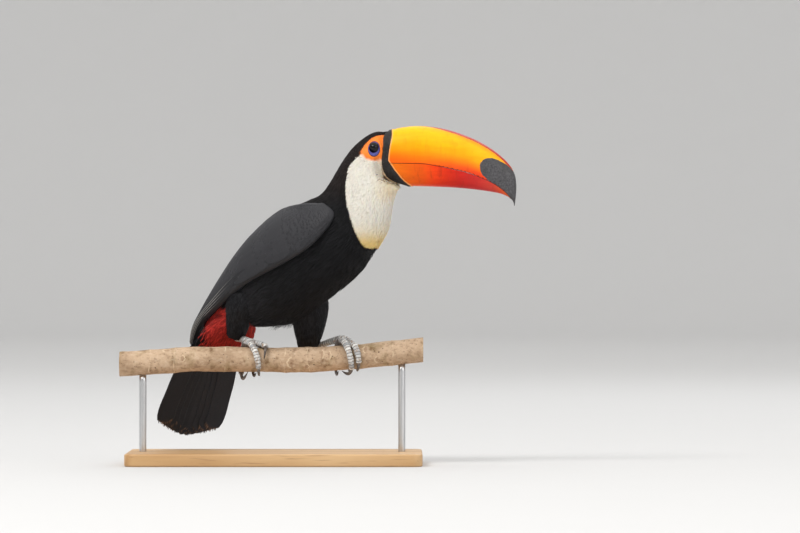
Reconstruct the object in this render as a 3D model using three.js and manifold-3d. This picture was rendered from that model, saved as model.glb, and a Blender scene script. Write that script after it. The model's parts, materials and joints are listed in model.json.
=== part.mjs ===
// A toco toucan, life size, gripping a short length of branch on a plain display stand.
// Millimetres, +Z up. The origin is the centre of the underside of the stand's base.
// The branch runs along X, the bill points to +X and the bird's right side faces -Y.
import * as THREE from "three";
import { mergeVertices } from "three/addons/utils/BufferGeometryUtils.js";
import Module from "manifold-3d";

const wasm = await Module();
wasm.setup();

// ---- Driving dimensions ----------------------------------------------------------------

const GAP = 0.3; // clear space left between neighbouring solids
const FAR = 500; // reach of the cutting blocks, past the whole model

const BASE = { length: 330, depth: 180, thick: 14, corner: 12, edge: 2 };
const ROD = { radius: 4, sides: 18, places: [-148, 142] };

const PERCH = { radius: 13.9, sides: 14, steps: 28, swell: 0.7, rings: 7 };
const PERCH_AXIS = [
  [-174, 112], [-128, 115], [-88, 117.5], [-20, 117],
  [40, 117], [95, 120.5], [132, 124.5], [166, 128],
];

const BODY_YAW = THREE.MathUtils.degToRad(32); // the trunk's heading, turned from +X towards -Y
const HEAD_YAW = THREE.MathUtils.degToRad(4); // the head is turned back almost along the branch
const BODY_CROSSES = 14; // where the trunk's middle plane crosses the branch's axis
const NECK_X = 78; // the neck's upright axis, about which the head turns
const NECK_Y = -(NECK_X - BODY_CROSSES) * Math.tan(BODY_YAW);

// Sections of the feathered body from rump to face. Each runs from a point on the back to one
// on the belly, both as [x, z] in the middle plane, and has a half width and a heading.
const turning = (part) => THREE.MathUtils.lerp(BODY_YAW, HEAD_YAW, part);
const BODY = [
  { back: [-83, 157], belly: [-62, 145], half: 14, yaw: BODY_YAW },
  { back: [-68, 182], belly: [-36, 151], half: 24, yaw: BODY_YAW },
  { back: [-42, 222], belly: [-7, 152], half: 37, yaw: BODY_YAW },
  { back: [-14, 260], belly: [23, 158], half: 45, yaw: BODY_YAW },
  { back: [14, 284], belly: [55, 181], half: 47, yaw: BODY_YAW },
  { back: [38, 296], belly: [88, 208], half: 44, yaw: BODY_YAW },
  { back: [53.5, 303.4], belly: [112, 237.8], half: 38, yaw: turning(0.25) },
  { back: [63, 317.2], belly: [127.2, 261.6], half: 33, yaw: turning(0.55) },
  { back: [73.5, 336], belly: [132.4, 287.5], half: 30.5, yaw: turning(0.8), power: 2.3 },
  { back: [86.5, 353.8], belly: [136.8, 302.4], half: 29, yaw: turning(0.95), power: 2.5 },
  { back: [101.5, 366.6], belly: [141, 310], half: 26.5, yaw: HEAD_YAW, power: 2.7 },
  { back: [113.3, 372], belly: [132, 314], half: 24, yaw: HEAD_YAW, power: 2.7 },
  { back: [122, 372], belly: [124, 320], half: 21.7, yaw: HEAD_YAW, power: 2.5 },
];
const HEAD_CUT = { nape: [70, 331], throat: [137, 303] };
const NECK_CUT = { nape: [54, 305], throat: [114, 243] };

// Sections of the bill from its base to its tip: culmen point, underside point, half width.
const BILL = [
  { back: [122, 372], belly: [122, 320], half: 20 },
  { back: [132, 374], belly: [132, 313.3], half: 20.7 },
  { back: [144, 376.2], belly: [144, 310.8], half: 20.7 },
  { back: [159, 377.4], belly: [160, 310.5], half: 20.2 },
  { back: [175.7, 376.4], belly: [177.7, 310], half: 19.3 },
  { back: [192.6, 373.2], belly: [195.6, 309.2], half: 18.2 },
  { back: [209.4, 367.9], belly: [211.4, 308], half: 16.8 },
  { back: [226.3, 360.8], belly: [227.3, 306.3], half: 15 },
  { back: [242, 351.6], belly: [241, 304.3], half: 12.8 },
  { back: [254, 342.1], belly: [251, 302.3], half: 10.6 },
  { back: [263, 332.2], belly: [258, 299.6], half: 8.2 },
  { back: [267.8, 322], belly: [262.4, 296.9], half: 6.4 },
  { back: [269.2, 311], belly: [264.9, 294.2], half: 4.6 },
  { back: [268.6, 299], belly: [266.4, 291], half: 2.6 },
  { back: [267.4, 289.2], belly: [266.6, 288.2], half: 0.7 },
];
// The edge along which the two halves of the bill close, from the corner of the mouth forwards.
// At its end it turns down behind the hook, which belongs to the upper half.
const GAPE = [
  [100, 335.8], [158, 335.5], [175.6, 333.7], [192.4, 330.5],
  [217, 324.5], [240, 315], [252.7, 307], [261, 299], [264.5, 292], [265.5, 283.5],
];

const GAPE_STEPS = 18;

const EYE = { x: 112.6, z: 352.9, radius: 6.4, out: 20.3 };

// The folded wings: a shell over the trunk, from its own sections, cut to the wing's outline.
const CLOAK = [
  { back: [-97, 136], belly: [-88, 125], half: 11 },
  { back: [-91, 157], belly: [-70, 130], half: 19 },
  { back: [-76, 181], belly: [-45, 138], half: 31 },
  { back: [-57, 210], belly: [-20, 145], half: 41 },
  { back: [-36, 240], belly: [4, 152], half: 48 },
  { back: [-14, 265], belly: [28, 166], half: 52 },
  { back: [14, 288], belly: [62, 186], half: 53.5 },
  { back: [38, 298.5], belly: [94, 208], half: 50.5 },
  { back: [53, 305], belly: [112, 237], half: 43 },
  { back: [62, 318], belly: [124, 261], half: 31.5 },
  { back: [72, 337], belly: [129, 286], half: 26 },
];
// Lower edge of the wing seen square to the trunk, [along, z], from the tip to the shoulder.
const WING_EDGE = [
  [-128, 122], [-107, 154], [-71, 176], [-31, 200],
  [7, 216.2], [39, 230.5], [60.5, 244.4], [77, 261.5],
];
const SHOULDER = [[85, 275.5], [84.6, 283], [77.8, 289.4], [62, 296]];
const MANTLE = { front: 34, back: 1.2, from: 60, to: -50 }; // half width of the back left bare

const FAN_ROUND = 0.09; // how far short of its tip a fan's outer corners end, as a share of its length
const TAIL = {
  base: [-60, 48, 160],
  tip: [-106, 94, 29.2],
  across: [0.85, 0.5, -0.1],
  widths: [15, 22, 34, 40, 41.5, 42.5, 36],
  thick: 5,
  thin: 2.4,
  arch: 3,
  grid: [8, 8],
};

// The coverts over the root of the tail: red below it and white above it.
const UNDERTAIL = {
  base: [-40, 28, 163],
  tip: [-77, 62, 110],
  across: TAIL.across,
  widths: [23, 31, 35, 32, 17],
  thick: 30,
  thin: 8,
  arch: 0,
  grid: [6, 6],
};
const UPPERTAIL = {
  base: [-74, 58, 168],
  tip: [-85, 76, 104],
  across: TAIL.across,
  widths: [9, 12, 16, 19, 11],
  thick: 15,
  thin: 5,
  arch: 0,
  grid: [6, 6],
};

const FOOT = {
  heel: 4.8, // radii, from the heel down to the claws' tips
  tarsus: 4.1,
  ball: 5.8,
  toe: 3.7,
  toeEnd: 3,
  claw: 2.3,
  clawTip: 0.35,
  sides: 7,
};
const TOE = {
  parts: [0, 0.25, 0.5, 0.75, 1], // stations along the curl
  sweep: 0.52, // how soon the toe's drift along the branch turns back, in half circles
  clawTurn: 44, // degrees the claw carries on round the branch
  clawRoot: 0.05, // where the claw starts inside the toe, as a share of the curl
  clawDip: 0.6, // how far it dips towards the branch at each station
};
// Each thigh's middle line and radii, the heel, the ball of the foot, and the toes: where each
// starts and drifts along the branch, the degrees it curls round it (front toes first), and how
// far its claw leans along the branch.
const LEGS = [
  {
    side: "right",
    thigh: [[-29, 8, 200], [-37, 3, 182], [-41, 12, 163], [-45, 26, 145]],
    thighRadii: [16, 18, 15, 11.5],
    heel: [-45, 40, 141],
    foot: [-30, 2, 137.2],
    toes: [
      { from: -30, drift: 12, curl: 128, lean: 1 },
      { from: -24, drift: 14, curl: 40, lean: -2 },
      { from: -33, drift: -5, curl: -160, lean: 8 },
      { from: -24, drift: -1, curl: -140, lean: 4 },
    ],
  },
  {
    side: "left",
    thigh: [[38, 6, 190], [38.5, 14, 174], [37.5, 27, 150], [36, 36, 130]],
    thighRadii: [22, 22, 17.5, 11.5],
    heel: [47, 38, 131],
    foot: [75, 3, 140.5],
    toes: [
      { from: 75, drift: 11, curl: 142, lean: -11 },
      { from: 82, drift: 12, curl: 116, lean: -3 },
      { from: 72, drift: -4, curl: -140, lean: 3 },
      { from: 80, drift: 3, curl: -132, lean: 3 },
    ],
  },
];

// How finely each shape is faceted: sides round it, then steps along it.
const MESH = {
  body: { sides: 20, steps: 26 },
  cloak: { sides: 20, steps: 15 },
  bill: { sides: 16, steps: 20 },
  thigh: [14, 6],
  ball: [8, 6],
  tarsusSteps: 2,
  toeSteps: 6,
  claw: [6, 4],
  eye: [12, 9],
  wingEdge: 22,
  perchAxis: 60,
};

// ---- Shaping ----------------------------------------------------------------------------

const middlePoint = ([x, z], yaw) => new THREE.Vector3(x, NECK_Y - Math.tan(yaw) * (x - NECK_X), z);
const sideways = (yaw) => new THREE.Vector3(Math.sin(yaw), Math.cos(yaw), 0);
const signedPower = (value, power) => Math.sign(value) * Math.abs(value) ** power;
const smoothCurve = (points) => new THREE.CatmullRomCurve3(points, false, "catmullrom", 0.5);

// Moves every vertex of a closed geometry by place(vertex), which returns the new point.
function reshape(geometry, place) {
  const position = geometry.getAttribute("position");
  const vertex = new THREE.Vector3();
  for (let i = 0; i < position.count; i += 1) {
    const moved = place(vertex.fromBufferAttribute(position, i).clone());
    position.setXYZ(i, moved.x, moved.y, moved.z);
  }
  return geometry;
}

// A closed body through sections. Each ring is an oval (a superellipse of the given power)
// spanned by back - belly and by the half width along the section's sideways direction. A
// higher power makes the oval squarer.
// grow widens it all round, for cutting a neighbour clear of it.
function loft(sections, { sides, steps, heading = BODY_YAW, power = 2.15, grow = 0 }) {
  const yaws = sections.map((s) => s.yaw ?? heading);
  const backs = smoothCurve(sections.map((s, i) => middlePoint(s.back, yaws[i])));
  const bellies = smoothCurve(sections.map((s, i) => middlePoint(s.belly, yaws[i])));
  const measures = sections.map((s, i) => new THREE.Vector3(s.half, yaws[i], s.power ?? power));
  const sizes = smoothCurve(measures);
  return reshape(new THREE.CylinderGeometry(1, 1, 1, sides, steps), (v) => {
    const t = 0.5 - v.y;
    const back = backs.getPoint(t);
    const belly = bellies.getPoint(t);
    const size = sizes.getPoint(t);
    const centre = back.clone().add(belly).multiplyScalar(0.5);
    const upward = back.clone().sub(belly);
    const reach = upward.length() / 2 + grow;
    const point = centre.clone();
    point.addScaledVector(upward.normalize(), signedPower(v.z, 2 / size.z) * reach);
    point.addScaledVector(sideways(size.y), signedPower(v.x, 2 / size.z) * (size.x + grow));
    if (t === 0 || t === 1) {
      point.addScaledVector(backs.getTangent(t).add(bellies.getTangent(t)).normalize(), grow * (2 * t - 1));
    }
    return point;
  });
}

// A round limb along a smooth path, its radius running smoothly through the given radii.
function limb(points, radii, sides, steps, grow = 0) {
  const path = smoothCurve(points.map((p) => new THREE.Vector3(...p)));
  const thickness = smoothCurve(radii.map((r, i) => new THREE.Vector3(i, r, 0)));
  const frames = path.computeFrenetFrames(steps, false);
  return reshape(new THREE.CylinderGeometry(1, 1, 1, sides, steps), (v) => {
    const step = Math.round((0.5 - v.y) * steps);
    const t = path.getUtoTmapping(step / steps);
    const radius = thickness.getPoint(t).y + grow;
    const point = path.getPoint(t);
    point.addScaledVector(frames.normals[step], v.x * radius);
    point.addScaledVector(frames.binormals[step], v.z * radius);
    if (step === 0 || step === steps) {
      point.addScaledVector(frames.tangents[step], grow * (2 * step / steps - 1));
    }
    return point;
  });
}

// ---- Joining and cutting ----------------------------------------------------------------

// A closed geometry as a manifold solid, its faces turned outwards if they point in.
function solid(geometry) {
  geometry.deleteAttribute("normal");
  geometry.deleteAttribute("uv");
  const merged = mergeVertices(geometry, 1e-4);
  const vertProperties = Float32Array.from(merged.getAttribute("position").array);
  const triVerts = Uint32Array.from(merged.index.array);
  const [a, b, c] = [new THREE.Vector3(), new THREE.Vector3(), new THREE.Vector3()];
  let volume = 0;
  for (let i = 0; i < triVerts.length; i += 3) {
    a.fromArray(vertProperties, triVerts[i] * 3);
    b.fromArray(vertProperties, triVerts[i + 1] * 3);
    c.fromArray(vertProperties, triVerts[i + 2] * 3);
    volume += a.dot(b.cross(c));
  }
  if (volume < 0) {
    for (let i = 0; i < triVerts.length; i += 3) {
      [triVerts[i], triVerts[i + 1]] = [triVerts[i + 1], triVerts[i]];
    }
  }
  return new wasm.Manifold(new wasm.Mesh({ numProp: 3, vertProperties, triVerts }));
}

const joined = (pieces) => pieces.reduce((whole, piece) => whole.add(piece));
const cutBy = (piece, tools) => tools.reduce((rest, tool) => rest.subtract(tool), piece);

// The block of space on the side of a plane that the normal points to, GAP / 2 off the plane.
function beyond(origin, normal) {
  const block = new THREE.BoxGeometry(2 * FAR, 2 * FAR, 2 * FAR);
  block.translate(0, 0, FAR + GAP / 2);
  const turn = new THREE.Quaternion().setFromUnitVectors(new THREE.Vector3(0, 0, 1), normal);
  block.applyQuaternion(turn);
  block.translate(origin.x, origin.y, origin.z);
  return solid(block);
}

// The plane through a nape point and a throat point, square to the middle plane.
function crossPlane({ nape, throat }, yaw) {
  const origin = middlePoint(nape, yaw);
  const down = middlePoint(throat, yaw).sub(origin);
  const normal = sideways(yaw).cross(down).normalize();
  return { origin, normal: normal.multiplyScalar(Math.sign(normal.z)) };
}

// An outline drawn in an upright plane, as [along, z] points, made a slab across that plane.
function slabAcross(points, yaw, from, to) {
  const outline = new THREE.Shape(points.map(([along, z]) => new THREE.Vector2(along, z)));
  const slab = new THREE.ExtrudeGeometry(outline, { depth: to - from, bevelEnabled: false });
  slab.translate(0, 0, from);
  slab.rotateX(Math.PI / 2);
  slab.scale(1, -1, 1);
  slab.rotateZ(-yaw);
  slab.translate(BODY_CROSSES, 0, 0);
  return solid(slab);
}

const bird = new THREE.Group();
function addNode(group, name, geometry, color, roughness, metalness = 0) {
  const material = new THREE.MeshStandardMaterial({ color, roughness, metalness });
  const mesh = new THREE.Mesh(geometry, material);
  mesh.name = name;
  group.add(mesh);
  return mesh;
}
function addSolid(name, piece, color, roughness) {
  const { vertProperties, triVerts } = piece.getMesh();
  const geometry = new THREE.BufferGeometry();
  geometry.setAttribute("position", new THREE.BufferAttribute(vertProperties, 3));
  geometry.setIndex(new THREE.BufferAttribute(triVerts, 1));
  return addNode(bird, name, geometry, color, roughness);
}

const BLACK = 0x17171a;
const SLATE = 0x2a2c33;

// ---- Branch -----------------------------------------------------------------------------

// The swelling at the leaf scars, one every so often along the branch.
const perchHeights = smoothCurve(PERCH_AXIS.map(([x, z]) => new THREE.Vector3(x, 0, z)));
const perchTurns = Array.from({ length: 4 * PERCH.rings + 1 }, (_, i) => i / (4 * PERCH.rings));
const perchPath = perchTurns.map((t) => perchHeights.getPoint(t).toArray());
const perchRadii = perchTurns.map((t, i) => PERCH.radius + (i % 4 === 2 ? PERCH.swell : 0));
const perchShape = (grow) => solid(limb(perchPath, perchRadii, PERCH.sides, PERCH.steps, grow));
const perch = perchShape(0);
const perchClear = perchShape(GAP);

// The branch's axis at a distance along X.
function perchAxis(x) {
  const points = perchHeights.getPoints(MESH.perchAxis);
  const after = points.findIndex((p) => p.x > x);
  const [p, q] = [points[after - 1], points[after]];
  return THREE.MathUtils.lerp(p.z, q.z, (x - p.x) / (q.x - p.x));
}

// ---- Body -------------------------------------------------------------------------------

const billSize = { ...MESH.bill, heading: HEAD_YAW, power: 2.25 };
const body = solid(loft(BODY, MESH.body));
const bodyClear = solid(loft(BODY, { ...MESH.body, grow: GAP }));
const bill = solid(loft(BILL, billSize));
const billClear = solid(loft(BILL, { ...billSize, grow: GAP }));

const eyes = ["right", "left"].map((side, i) => {
  const out = i === 0 ? -EYE.out : EYE.out;
  const place = middlePoint([EYE.x, EYE.z], HEAD_YAW).addScaledVector(sideways(HEAD_YAW), out);
  const ball = (grow) => new THREE.SphereGeometry(EYE.radius + grow, ...MESH.eye).translate(...place);
  return { side, ball: solid(ball(0)), socket: solid(ball(GAP)) };
});

const headCut = crossPlane(HEAD_CUT, turning(0.85));
const neckCut = crossPlane(NECK_CUT, turning(0.3));
const headward = (cut) => beyond(cut.origin, cut.normal);
const tailward = (cut) => beyond(cut.origin, cut.normal.clone().negate());
const front = cutBy(body, [billClear]);
const head = cutBy(front.intersect(headward(headCut)), eyes.map((eye) => eye.socket));
const neck = front.intersect(tailward(headCut)).intersect(headward(neckCut));
const trunk = body.intersect(tailward(neckCut));

// ---- Bill -------------------------------------------------------------------------------

const gapeLine = smoothCurve(GAPE.map(([x, z]) => new THREE.Vector3(x - BODY_CROSSES, z, 0)));
// The part of the bill on one side of the gape: above and before it, or below and behind it.
function billHalf(side) {
  const shift = (side * GAP) / 2;
  const edge = gapeLine.getPoints(GAPE_STEPS).map((p) => [p.x + shift, p.y + shift]);
  const ahead = side > 0 ? [[FAR, edge.at(-1)[1]]] : [];
  const last = side > 0 ? FAR : edge.at(-1)[0];
  const points = [...edge, ...ahead, [last, side * FAR], [edge[0][0], side * FAR]];
  return bill.intersect(slabAcross(points, 0, -FAR, FAR));
}
const billUpper = billHalf(1);
const billLower = billHalf(-1);

// ---- Legs -------------------------------------------------------------------------------

// A point at an angle round the branch, from its top towards -Y, clear of it by a radius.
function roundPerch(x, degrees, clearance) {
  const angle = THREE.MathUtils.degToRad(degrees);
  const reach = PERCH.radius + PERCH.swell + clearance;
  return [x, -Math.sin(angle) * reach, perchAxis(x) + Math.cos(angle) * reach];
}

// A toe lies round the branch and its claw carries on round it from the toe's end.
function toe({ from, drift, curl, lean }, clearance) {
  const along = (part) => from + drift * Math.sin(Math.min(part, 1) * Math.PI * TOE.sweep);
  const at = (part, off, aside = 0) => roundPerch(along(part) + aside, part * curl, off);
  const toePath = TOE.parts.map((part) => at(part, clearance));
  const share = TOE.clawTurn / Math.abs(curl);
  const clawParts = [1 - TOE.clawRoot, 1 + share / 2, 1 + share];
  const leans = [0, lean / 2, lean];
  const clawPath = clawParts.map((part, i) => at(part, clearance - TOE.clawDip * i, leans[i]));
  return { toePath, clawPath };
}

const legs = LEGS.map((leg) => {
  const ways = leg.toes.map((t) => toe(t, FOOT.toe + GAP));
  const shank = (grow) => {
    const ball = new THREE.SphereGeometry(FOOT.ball + grow, ...MESH.ball).translate(...leg.foot);
    const tarsus = limb([leg.heel, leg.foot], [FOOT.heel, FOOT.tarsus], FOOT.sides, MESH.tarsusSteps, grow);
    return joined([solid(tarsus), solid(ball)]);
  };
  const toes = (grow) => ways.map((way) => {
    const radii = [FOOT.toe, FOOT.toe, FOOT.toe, FOOT.toe, FOOT.toeEnd];
    return solid(limb(way.toePath, radii, FOOT.sides, MESH.toeSteps, grow));
  });
  const toesClear = toes(GAP);
  const clawRadii = [FOOT.claw, FOOT.claw * 0.75, FOOT.clawTip];
  const claws = ways.map((way) => {
    const claw = solid(limb(way.clawPath, clawRadii, ...MESH.claw));
    return cutBy(claw, [perchClear, ...toesClear]);
  });
  const foot = cutBy(joined([shank(0), ...toes(0)]), [perchClear]);
  const footClear = joined([shank(GAP), ...toesClear]);
  const thighShape = (grow) => solid(limb(leg.thigh, leg.thighRadii, ...MESH.thigh, grow));
  const thigh = cutBy(thighShape(0), [bodyClear, footClear, perchClear]);
  return { side: leg.side, thigh, foot, claws, clear: joined([footClear, thighShape(GAP)]) };
});
const legsClear = legs.map((leg) => leg.clear);

// ---- Tail and coverts -------------------------------------------------------------------

// A plate from base to tip, its half widths spread evenly along it, thinning to the tip,
// arched across, and rounded at the end.
function fan({ base, tip, across: side, widths, thick, thin, arch, grid }) {
  const start = new THREE.Vector3(...base);
  const along = new THREE.Vector3(...tip).sub(start);
  const across = new THREE.Vector3(...side).projectOnPlane(along.clone().normalize()).normalize();
  const face = along.clone().cross(across).normalize();
  const width = smoothCurve(widths.map((w, i) => new THREE.Vector3(i, w, 0)));
  return reshape(new THREE.BoxGeometry(2, 1, 1, ...grid, 1), (v) => {
    const t = 0.5 - v.y;
    const endRound = 1 - FAN_ROUND * v.x * v.x;
    const point = start.clone().addScaledVector(along, t * THREE.MathUtils.lerp(1, endRound, t));
    point.addScaledVector(across, v.x * width.getPoint(t).y);
    const depth = v.z * THREE.MathUtils.lerp(thick, thin, t) * (1 - 0.5 * v.x * v.x);
    return point.addScaledVector(face, depth + arch * v.x * v.x);
  });
}

const thicker = (plate) => ({ ...plate, thick: plate.thick + 2 * GAP, thin: plate.thin + 2 * GAP });
const tailPlate = solid(fan(TAIL)).subtract(bodyClear);
const tailClear = solid(fan(thicker(TAIL)));
const undertailLimits = [bodyClear, tailClear, perchClear, ...legsClear];
const undertail = cutBy(solid(fan(UNDERTAIL)), undertailLimits);
const undertailClear = solid(fan(thicker(UNDERTAIL)));
const cloakClear = solid(loft(CLOAK, { ...MESH.cloak, grow: GAP }));
const uppertail = cutBy(solid(fan(UPPERTAIL)), [bodyClear, tailClear, undertailClear, cloakClear]);

// ---- Wings ------------------------------------------------------------------------------

const wingEdge = smoothCurve([...WING_EDGE, ...SHOULDER].map(([a, z]) => new THREE.Vector3(a, z, 0)));
const wingOutline = wingEdge.getPoints(MESH.wingEdge).map((p) => [p.x, p.y]);
const wingSide = [...wingOutline, [wingOutline.at(-1)[0], FAR], [-FAR, FAR], [-FAR, WING_EDGE[0][1]]];
const cloak = solid(loft(CLOAK, MESH.cloak));

// The space on one side of the trunk, from the bare mantle outwards, as seen from above.
function besideMantle(sign) {
  const { front: wide, back: narrow, from, to } = MANTLE;
  const edge = [[FAR, wide], [from, wide], [to, narrow], [-FAR, narrow]];
  const points = [...edge, [-FAR, FAR], [FAR, FAR]].map(([a, b]) => new THREE.Vector2(a, b * sign));
  const block = new THREE.ExtrudeGeometry(new THREE.Shape(points), { depth: FAR, bevelEnabled: false });
  block.rotateZ(-BODY_YAW);
  block.translate(BODY_CROSSES, 0, 0);
  return solid(block);
}
function wing(sign) {
  const reach = sign < 0 ? [-FAR, 0] : [0, FAR];
  const outline = slabAcross(wingSide, BODY_YAW, ...reach);
  const shell = cloak.intersect(outline).intersect(besideMantle(sign));
  return cutBy(shell, [bodyClear, undertailClear, tailClear, ...legsClear]);
}

addSolid("head", head, BLACK, 0.8);
addSolid("neck", neck, 0xe9dfcd, 0.85);
addSolid("trunk", trunk, BLACK, 0.8);
addSolid("bill_upper", billUpper, 0xf59a1c, 0.4);
addSolid("bill_lower", billLower, 0xe4521f, 0.4);
addSolid("wing_right", wing(-1), SLATE, 0.75);
addSolid("wing_left", wing(1), SLATE, 0.75);
addSolid("tail", tailPlate, BLACK, 0.8);
addSolid("undertail_coverts", undertail, 0xa81f1c, 0.85);
addSolid("uppertail_coverts", uppertail, 0xe8e4da, 0.85);
for (const eye of eyes) {
  addSolid(`eye_${eye.side}`, eye.ball, 0x15131a, 0.1);
}
for (const leg of legs) {
  addSolid(`thigh_${leg.side}`, leg.thigh, BLACK, 0.85);
  addSolid(`foot_${leg.side}`, leg.foot, 0x9fa6ad, 0.6);
  leg.claws.forEach((claw, i) => addSolid(`claw_${leg.side}_${i + 1}`, claw, 0x5b5048, 0.4));
}
addSolid("perch", perch, 0xb08a63, 0.85);

// ---- Stand ------------------------------------------------------------------------------

const stand = new THREE.Group();

// A flat board with rounded corners and a small bevel round its top and bottom edges.
function baseBoard({ length, depth, thick, corner, edge }) {
  const [x, y] = [length / 2 - edge, depth / 2 - edge];
  const outline = new THREE.Shape();
  outline.moveTo(-x + corner, -y);
  for (const [cx, cy, from] of [[x, -y, -0.5], [x, y, 0], [-x, y, 0.5], [-x, -y, 1]]) {
    const centreX = cx - Math.sign(cx) * corner;
    const centreY = cy - Math.sign(cy) * corner;
    outline.absarc(centreX, centreY, corner, from * Math.PI, (from + 0.5) * Math.PI);
  }
  const bevel = { bevelSize: edge, bevelThickness: edge, bevelSegments: 1 };
  const board = new THREE.ExtrudeGeometry(outline, { depth: thick - 2 * edge, curveSegments: 4, ...bevel });
  return board.translate(0, 0, edge);
}

addNode(stand, "stand_base", baseBoard(BASE), 0xcfae82, 0.55);
ROD.places.forEach((x, i) => {
  const top = perchAxis(x);
  const post = new THREE.CylinderGeometry(ROD.radius, ROD.radius, top - BASE.thick, ROD.sides, 1);
  post.rotateX(Math.PI / 2);
  post.translate(x, 0, (top + BASE.thick) / 2);
  addSolid(`stand_rod_${i + 1}`, solid(post).subtract(perchClear), 0xb9bcc0, 0.3);
});

const toucan = new THREE.Group();
toucan.add(bird, stand);

export default toucan;
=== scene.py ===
"""A toco toucan, life size, gripping a cut length of branch on a plain wooden stand.

Lengths in the tables are millimetres in the frame of the solids, and every mesh is made in
metres. X runs along the branch, the bill points to +X and the bird's right side faces -Y.
"""

import json
import math

import bpy
import numpy as np
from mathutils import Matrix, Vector

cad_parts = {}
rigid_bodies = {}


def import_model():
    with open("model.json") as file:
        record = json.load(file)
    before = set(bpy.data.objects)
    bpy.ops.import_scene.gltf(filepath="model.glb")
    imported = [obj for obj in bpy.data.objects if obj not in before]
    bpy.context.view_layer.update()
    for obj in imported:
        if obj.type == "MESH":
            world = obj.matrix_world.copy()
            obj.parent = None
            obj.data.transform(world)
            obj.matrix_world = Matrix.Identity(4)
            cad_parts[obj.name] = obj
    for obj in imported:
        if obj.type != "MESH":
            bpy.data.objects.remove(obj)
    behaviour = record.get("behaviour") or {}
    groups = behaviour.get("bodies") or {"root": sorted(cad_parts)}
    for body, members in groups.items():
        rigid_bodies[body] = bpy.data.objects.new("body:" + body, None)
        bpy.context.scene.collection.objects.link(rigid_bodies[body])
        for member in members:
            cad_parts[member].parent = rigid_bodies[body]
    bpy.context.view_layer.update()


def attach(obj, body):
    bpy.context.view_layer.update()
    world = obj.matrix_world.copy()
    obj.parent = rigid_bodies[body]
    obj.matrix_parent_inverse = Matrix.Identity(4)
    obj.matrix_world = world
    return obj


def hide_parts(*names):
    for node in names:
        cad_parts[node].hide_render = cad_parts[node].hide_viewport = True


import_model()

MM = 0.001
TAU = 2 * math.pi
rng = np.random.default_rng(7)

# ---- Sizes shared with the solids ----

BODY_YAW, HEAD_YAW = math.radians(32), math.radians(4)
BODY_CROSSES = 14.0
NECK_X = 78.0
NECK_Y = -(NECK_X - BODY_CROSSES) * math.tan(BODY_YAW)


def turning(part):
    """The heading part of the way from the trunk's to the head's."""
    return BODY_YAW + (HEAD_YAW - BODY_YAW) * part


# Sections from rump to face: back x, z, belly x, z, half width, heading, squareness.
BODY = [
    (-83, 157, -62, 145, 14, turning(0), 2.15),
    (-68, 182, -36, 151, 24, turning(0), 2.15),
    (-42, 222, -7, 152, 37, turning(0), 2.15),
    (-14, 260, 23, 158, 45, turning(0), 2.15),
    (14, 284, 55, 181, 47, turning(0), 2.15),
    (38, 296, 88, 208, 44, turning(0), 2.15),
    (53.5, 303.4, 112, 237.8, 38, turning(0.25), 2.15),
    (63, 317.2, 127.2, 261.6, 33, turning(0.55), 2.15),
    (73.5, 336, 132.4, 287.5, 30.5, turning(0.8), 2.3),
    (86.5, 353.8, 136.8, 302.4, 29, turning(0.95), 2.5),
    (101.5, 366.6, 141, 310, 26.5, turning(1), 2.7),
    (113.3, 372, 132, 314, 24, turning(1), 2.7),
    (122, 372, 124, 320, 21.7, turning(1), 2.5),
]
CLOAK = [
    (-97, 136, -88, 125, 11),
    (-91, 157, -70, 130, 19),
    (-76, 181, -45, 138, 31),
    (-57, 210, -20, 145, 41),
    (-36, 240, 4, 152, 48),
    (-14, 265, 28, 166, 52),
    (14, 288, 62, 186, 53.5),
    (38, 298.5, 94, 208, 50.5),
    (53, 305, 112, 237, 43),
    (62, 318, 124, 261, 31.5),
    (72, 337, 129, 286, 26),
]
BILL = [
    (122, 372, 122, 320, 20),
    (132, 374, 132, 313.3, 20.7),
    (144, 376.2, 144, 310.8, 20.7),
    (159, 377.4, 160, 310.5, 20.2),
    (175.7, 376.4, 177.7, 310, 19.3),
    (192.6, 373.2, 195.6, 309.2, 18.2),
    (209.4, 367.9, 211.4, 308, 16.8),
    (226.3, 360.8, 227.3, 306.3, 15),
    (242, 351.6, 241, 304.3, 12.8),
    (254, 342.1, 251, 302.3, 10.6),
    (263, 332.2, 258, 299.6, 8.2),
    (267.8, 322, 262.4, 296.9, 6.4),
    (269.2, 311, 264.9, 294.2, 4.6),
    (268.6, 299, 266.4, 291, 2.6),
    (267.4, 289.2, 266.6, 288.2, 0.7),
]
GAPE = [
    (100, 335.8), (158, 335.5), (175.6, 333.7), (192.4, 330.5),
    (217, 324.5), (240, 315), (252.7, 307), (261, 299), (264.5, 292), (265.5, 283.5),
]
EYE = dict(x=112.6, z=352.9, radius=6.4, out=20.3)
WING_EDGE = [
    (-128, 122), (-107, 154), (-71, 176), (-31, 200),
    (7, 216.2), (39, 230.5), (60.5, 244.4), (77, 261.5),
]
SHOULDER = [(85, 275.5), (84.6, 283), (77.8, 289.4), (62, 297)]
MANTLE = dict(front=34, back=1.2, start=60, end=-50)
TAIL = dict(base=(-60, 48, 160), tip=(-106, 94, 29.2), across=(0.85, 0.5, -0.1),
            widths=(15, 22, 34, 40, 41.5, 42.5, 36), arch=3)
UNDERTAIL = dict(base=(-40, 28, 163), tip=(-77, 62, 110), across=(0.85, 0.5, -0.1),
                 widths=(23, 31, 35, 32, 17), arch=0)
UPPERTAIL = dict(base=(-74, 58, 168), tip=(-85, 76, 104), across=(0.85, 0.5, -0.1),
                 widths=(9, 12, 16, 19, 11), arch=0)
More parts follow.
